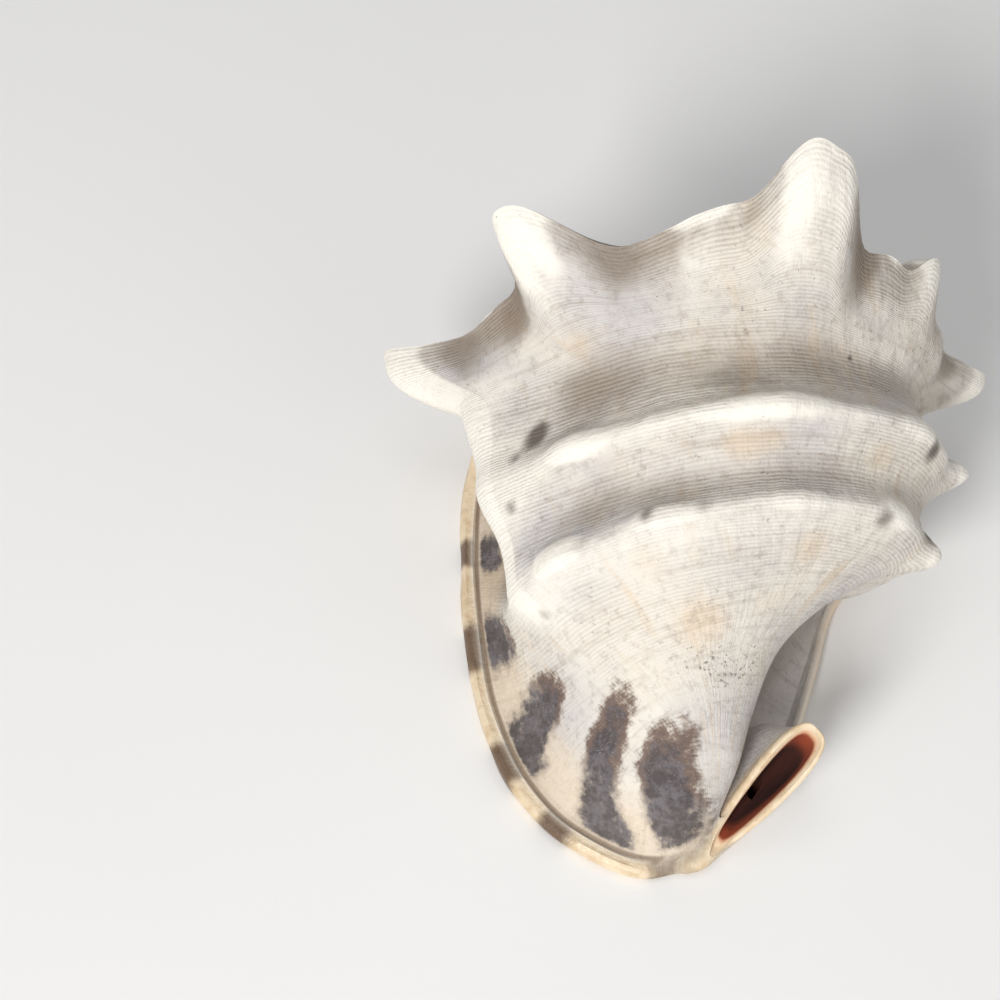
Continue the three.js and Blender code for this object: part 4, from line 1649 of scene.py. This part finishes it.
    @staticmethod
    def height(n: ShellNodes) -> Field:
        """Bump height in metres: cords, growth lines, grain and shallow pits, faint on the glossy side.

        Args:
            n: The nodes to add to.

        Returns:
            The height.
        """
        growth_lines = n.noise(0.5, 3.0, 0.55, n.vector(n.growth, n.across * 0.05))
        rough = n.grain * 0.0004 + n.noise(190.0, 3.0, 0.65) * 0.0006 + n.cloud * 0.0009
        rough = rough + growth_lines * 0.0004
        lines = n.cord * (n.cords * n.cloud.step(0.25, 0.65) * 0.00007)
        return lines + rough * (1.0 - n.under * 0.9)


# ---- the shell ---------------------------------------------------------------------------------
@dataclass
class HelmetShell:
    """The whole shell as one piece."""

    exterior: Exterior = field(default_factory=Exterior)
    canal: Canal = field(default_factory=Canal)
    aperture: Aperture = field(default_factory=Aperture)
    chamber: Chamber = field(default_factory=Chamber)
    finish: ShellFinish = ShellFinish()
    name: str = "horned_helmet_shell"
    rest_plane: float = 4.8
    crease: float = math.radians(48)
    fillet: float = 9.0

    def under_table(self) -> Skin:
        """A block under the rest plane.

        Returns:
            Two square rings.
        """
        wide = 300.0
        square = np.array([(-wide, -wide), (wide, -wide), (wide, wide), (-wide, wide)])
        rings = np.stack([np.column_stack([square, np.full(4, z)]) for z in (-wide, self.rest_plane)])
        return Skin(rings)

    def build(self) -> bpy.types.Object:
        """Builds, cuts, places and dresses the shell.

        Returns:
            The finished object.
        """
        outside = self.exterior.build()
        low, high = (np.array(corner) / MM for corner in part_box(NODE))
        own = outside.rings.reshape(-1, 3)
        own_low, own_high = own.min(0), own.max(0)
        shift = (low + high) / 2 - (own_low + own_high) / 2
        shift[2] = low[2] - self.rest_plane
        canal = (self.canal.spout(), self.canal.bridge())
        parts = [(Cut.JOIN, skin.to_mesh("canal", shift)) for skin in canal]
        joined = combine(outside.to_mesh("outside", shift), parts)
        soften_seam(joined, self.fillet)
        spaces = {
            "chamber": self.chamber.space(),
            "slit": self.aperture.slit(),
            "bore": self.canal.bore(),
            "passage": self.canal.passage(),
            "under_table": self.under_table(),
        }
        mesh = combine(joined, [(Cut.TAKE, skin.to_mesh(name, shift)) for name, skin in spaces.items()])
        fill_marks(mesh)
        mesh.name = self.name
        mesh.set_sharp_from_angle(angle=self.crease)
        mesh.materials.clear()
        mesh.materials.append(self.finish.build())
        shell = solid_object(mesh)
        shell.name = self.name
        LOG.info("shell: %d corners, %d faces", len(mesh.vertices), len(mesh.polygons))
        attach(shell, "root")
        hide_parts(NODE)
        return shell


# ---- the studio --------------------------------------------------------------------------------
@dataclass(frozen=True)
class Studio:
    """A pale floor, soft lights and the camera."""

    elevation: float = math.radians(56)
    distance: float = 0.9
    lens: float = 90.0
    sensor: float = 36.0
    aim: tuple[float, float, float] = (-0.0699, 0.0012, 0.0938)
    lit_place: tuple[float, float, float] = (0.0, 0.0, 0.08)
    sky: float = 0.33

    def floor(self) -> None:
        """A wide pale floor just under the shell."""
        half = 6.0
        corners = [(-half, -half, 0.0), (half, -half, 0.0), (half, half, 0.0), (-half, half, 0.0)]
        mesh = bpy.data.meshes.new("floor")
        mesh.from_pydata(corners, [], [(0, 1, 2, 3)])
        n = Nodes("floor")
        colour = n.mix(n.noise(3.0, 3.0), linear(244, 244, 244), linear(250, 250, 250))
        mesh.materials.append(n.finish({"Base Color": colour, "Roughness": 0.9}))
        solid_object(mesh)

    def light(self, name: str, place: tuple, size: float, power: float, tint: tuple) -> None:
        """An area light aimed at the shell.

        Args:
            name: The lamp's name.
            place: Where it hangs, in metres.
            size: Diameter of its disc, in metres.
            power: Power in watts.
            tint: Colour of its light.
        """
        data = bpy.data.lights.new(name, "AREA")
        data.shape = "DISK"
        data.size = size
        data.energy = power
        data.color = tint
        lamp = bpy.data.objects.new(name, data)
        lamp.location = place
        lamp.rotation_euler = aim_angles(np.array(place) - np.array(self.lit_place))
        bpy.context.scene.collection.objects.link(lamp)

    def build(self) -> None:
        """Makes the floor, the lights, the sky and the camera."""
        self.floor()
        self.light("key", (-1.1, -2.15, 1.65), 1.05, 64.0, (1.0, 0.985, 0.96))
        self.light("fill", (1.2, -0.8, 0.8), 1.4, 2.5, (0.96, 0.98, 1.0))
        self.light("top", (-0.3, 0.1, 2.4), 1.4, 6.0, (1.0, 1.0, 1.0))
        world = bpy.data.worlds.new("studio")
        world.use_nodes = True
        sky = world.node_tree.nodes["Background"].inputs
        sky["Color"].default_value = (1.0, 1.0, 1.0, 1.0)
        sky["Strength"].default_value = self.sky
        bpy.context.scene.world = world
        bpy.context.scene.view_settings.view_transform = "Standard"
        data = bpy.data.cameras.new("camera")
        data.lens = self.lens
        data.sensor_width = self.sensor
        data.clip_end = 20.0
        camera = bpy.data.objects.new("camera", data)
        back = np.array([0.0, -math.cos(self.elevation), math.sin(self.elevation)])
        camera.location = tuple(np.array(self.aim) + back * self.distance)
        camera.rotation_euler = aim_angles(back)
        bpy.context.scene.collection.objects.link(camera)
        bpy.context.scene.camera = camera


def aim_angles(back: Array) -> tuple[float, float, float]:
    """Euler angles of a camera or lamp whose back points along a vector."""
    x, y, z = back / np.linalg.norm(back)
    return (math.acos(z), 0.0, math.atan2(x, -y))


def main() -> None:
    logging.basicConfig(level=logging.INFO, format="%(name)s %(message)s")
    HelmetShell().build()
    Studio().build()


if __name__ == "__main__":
    main()
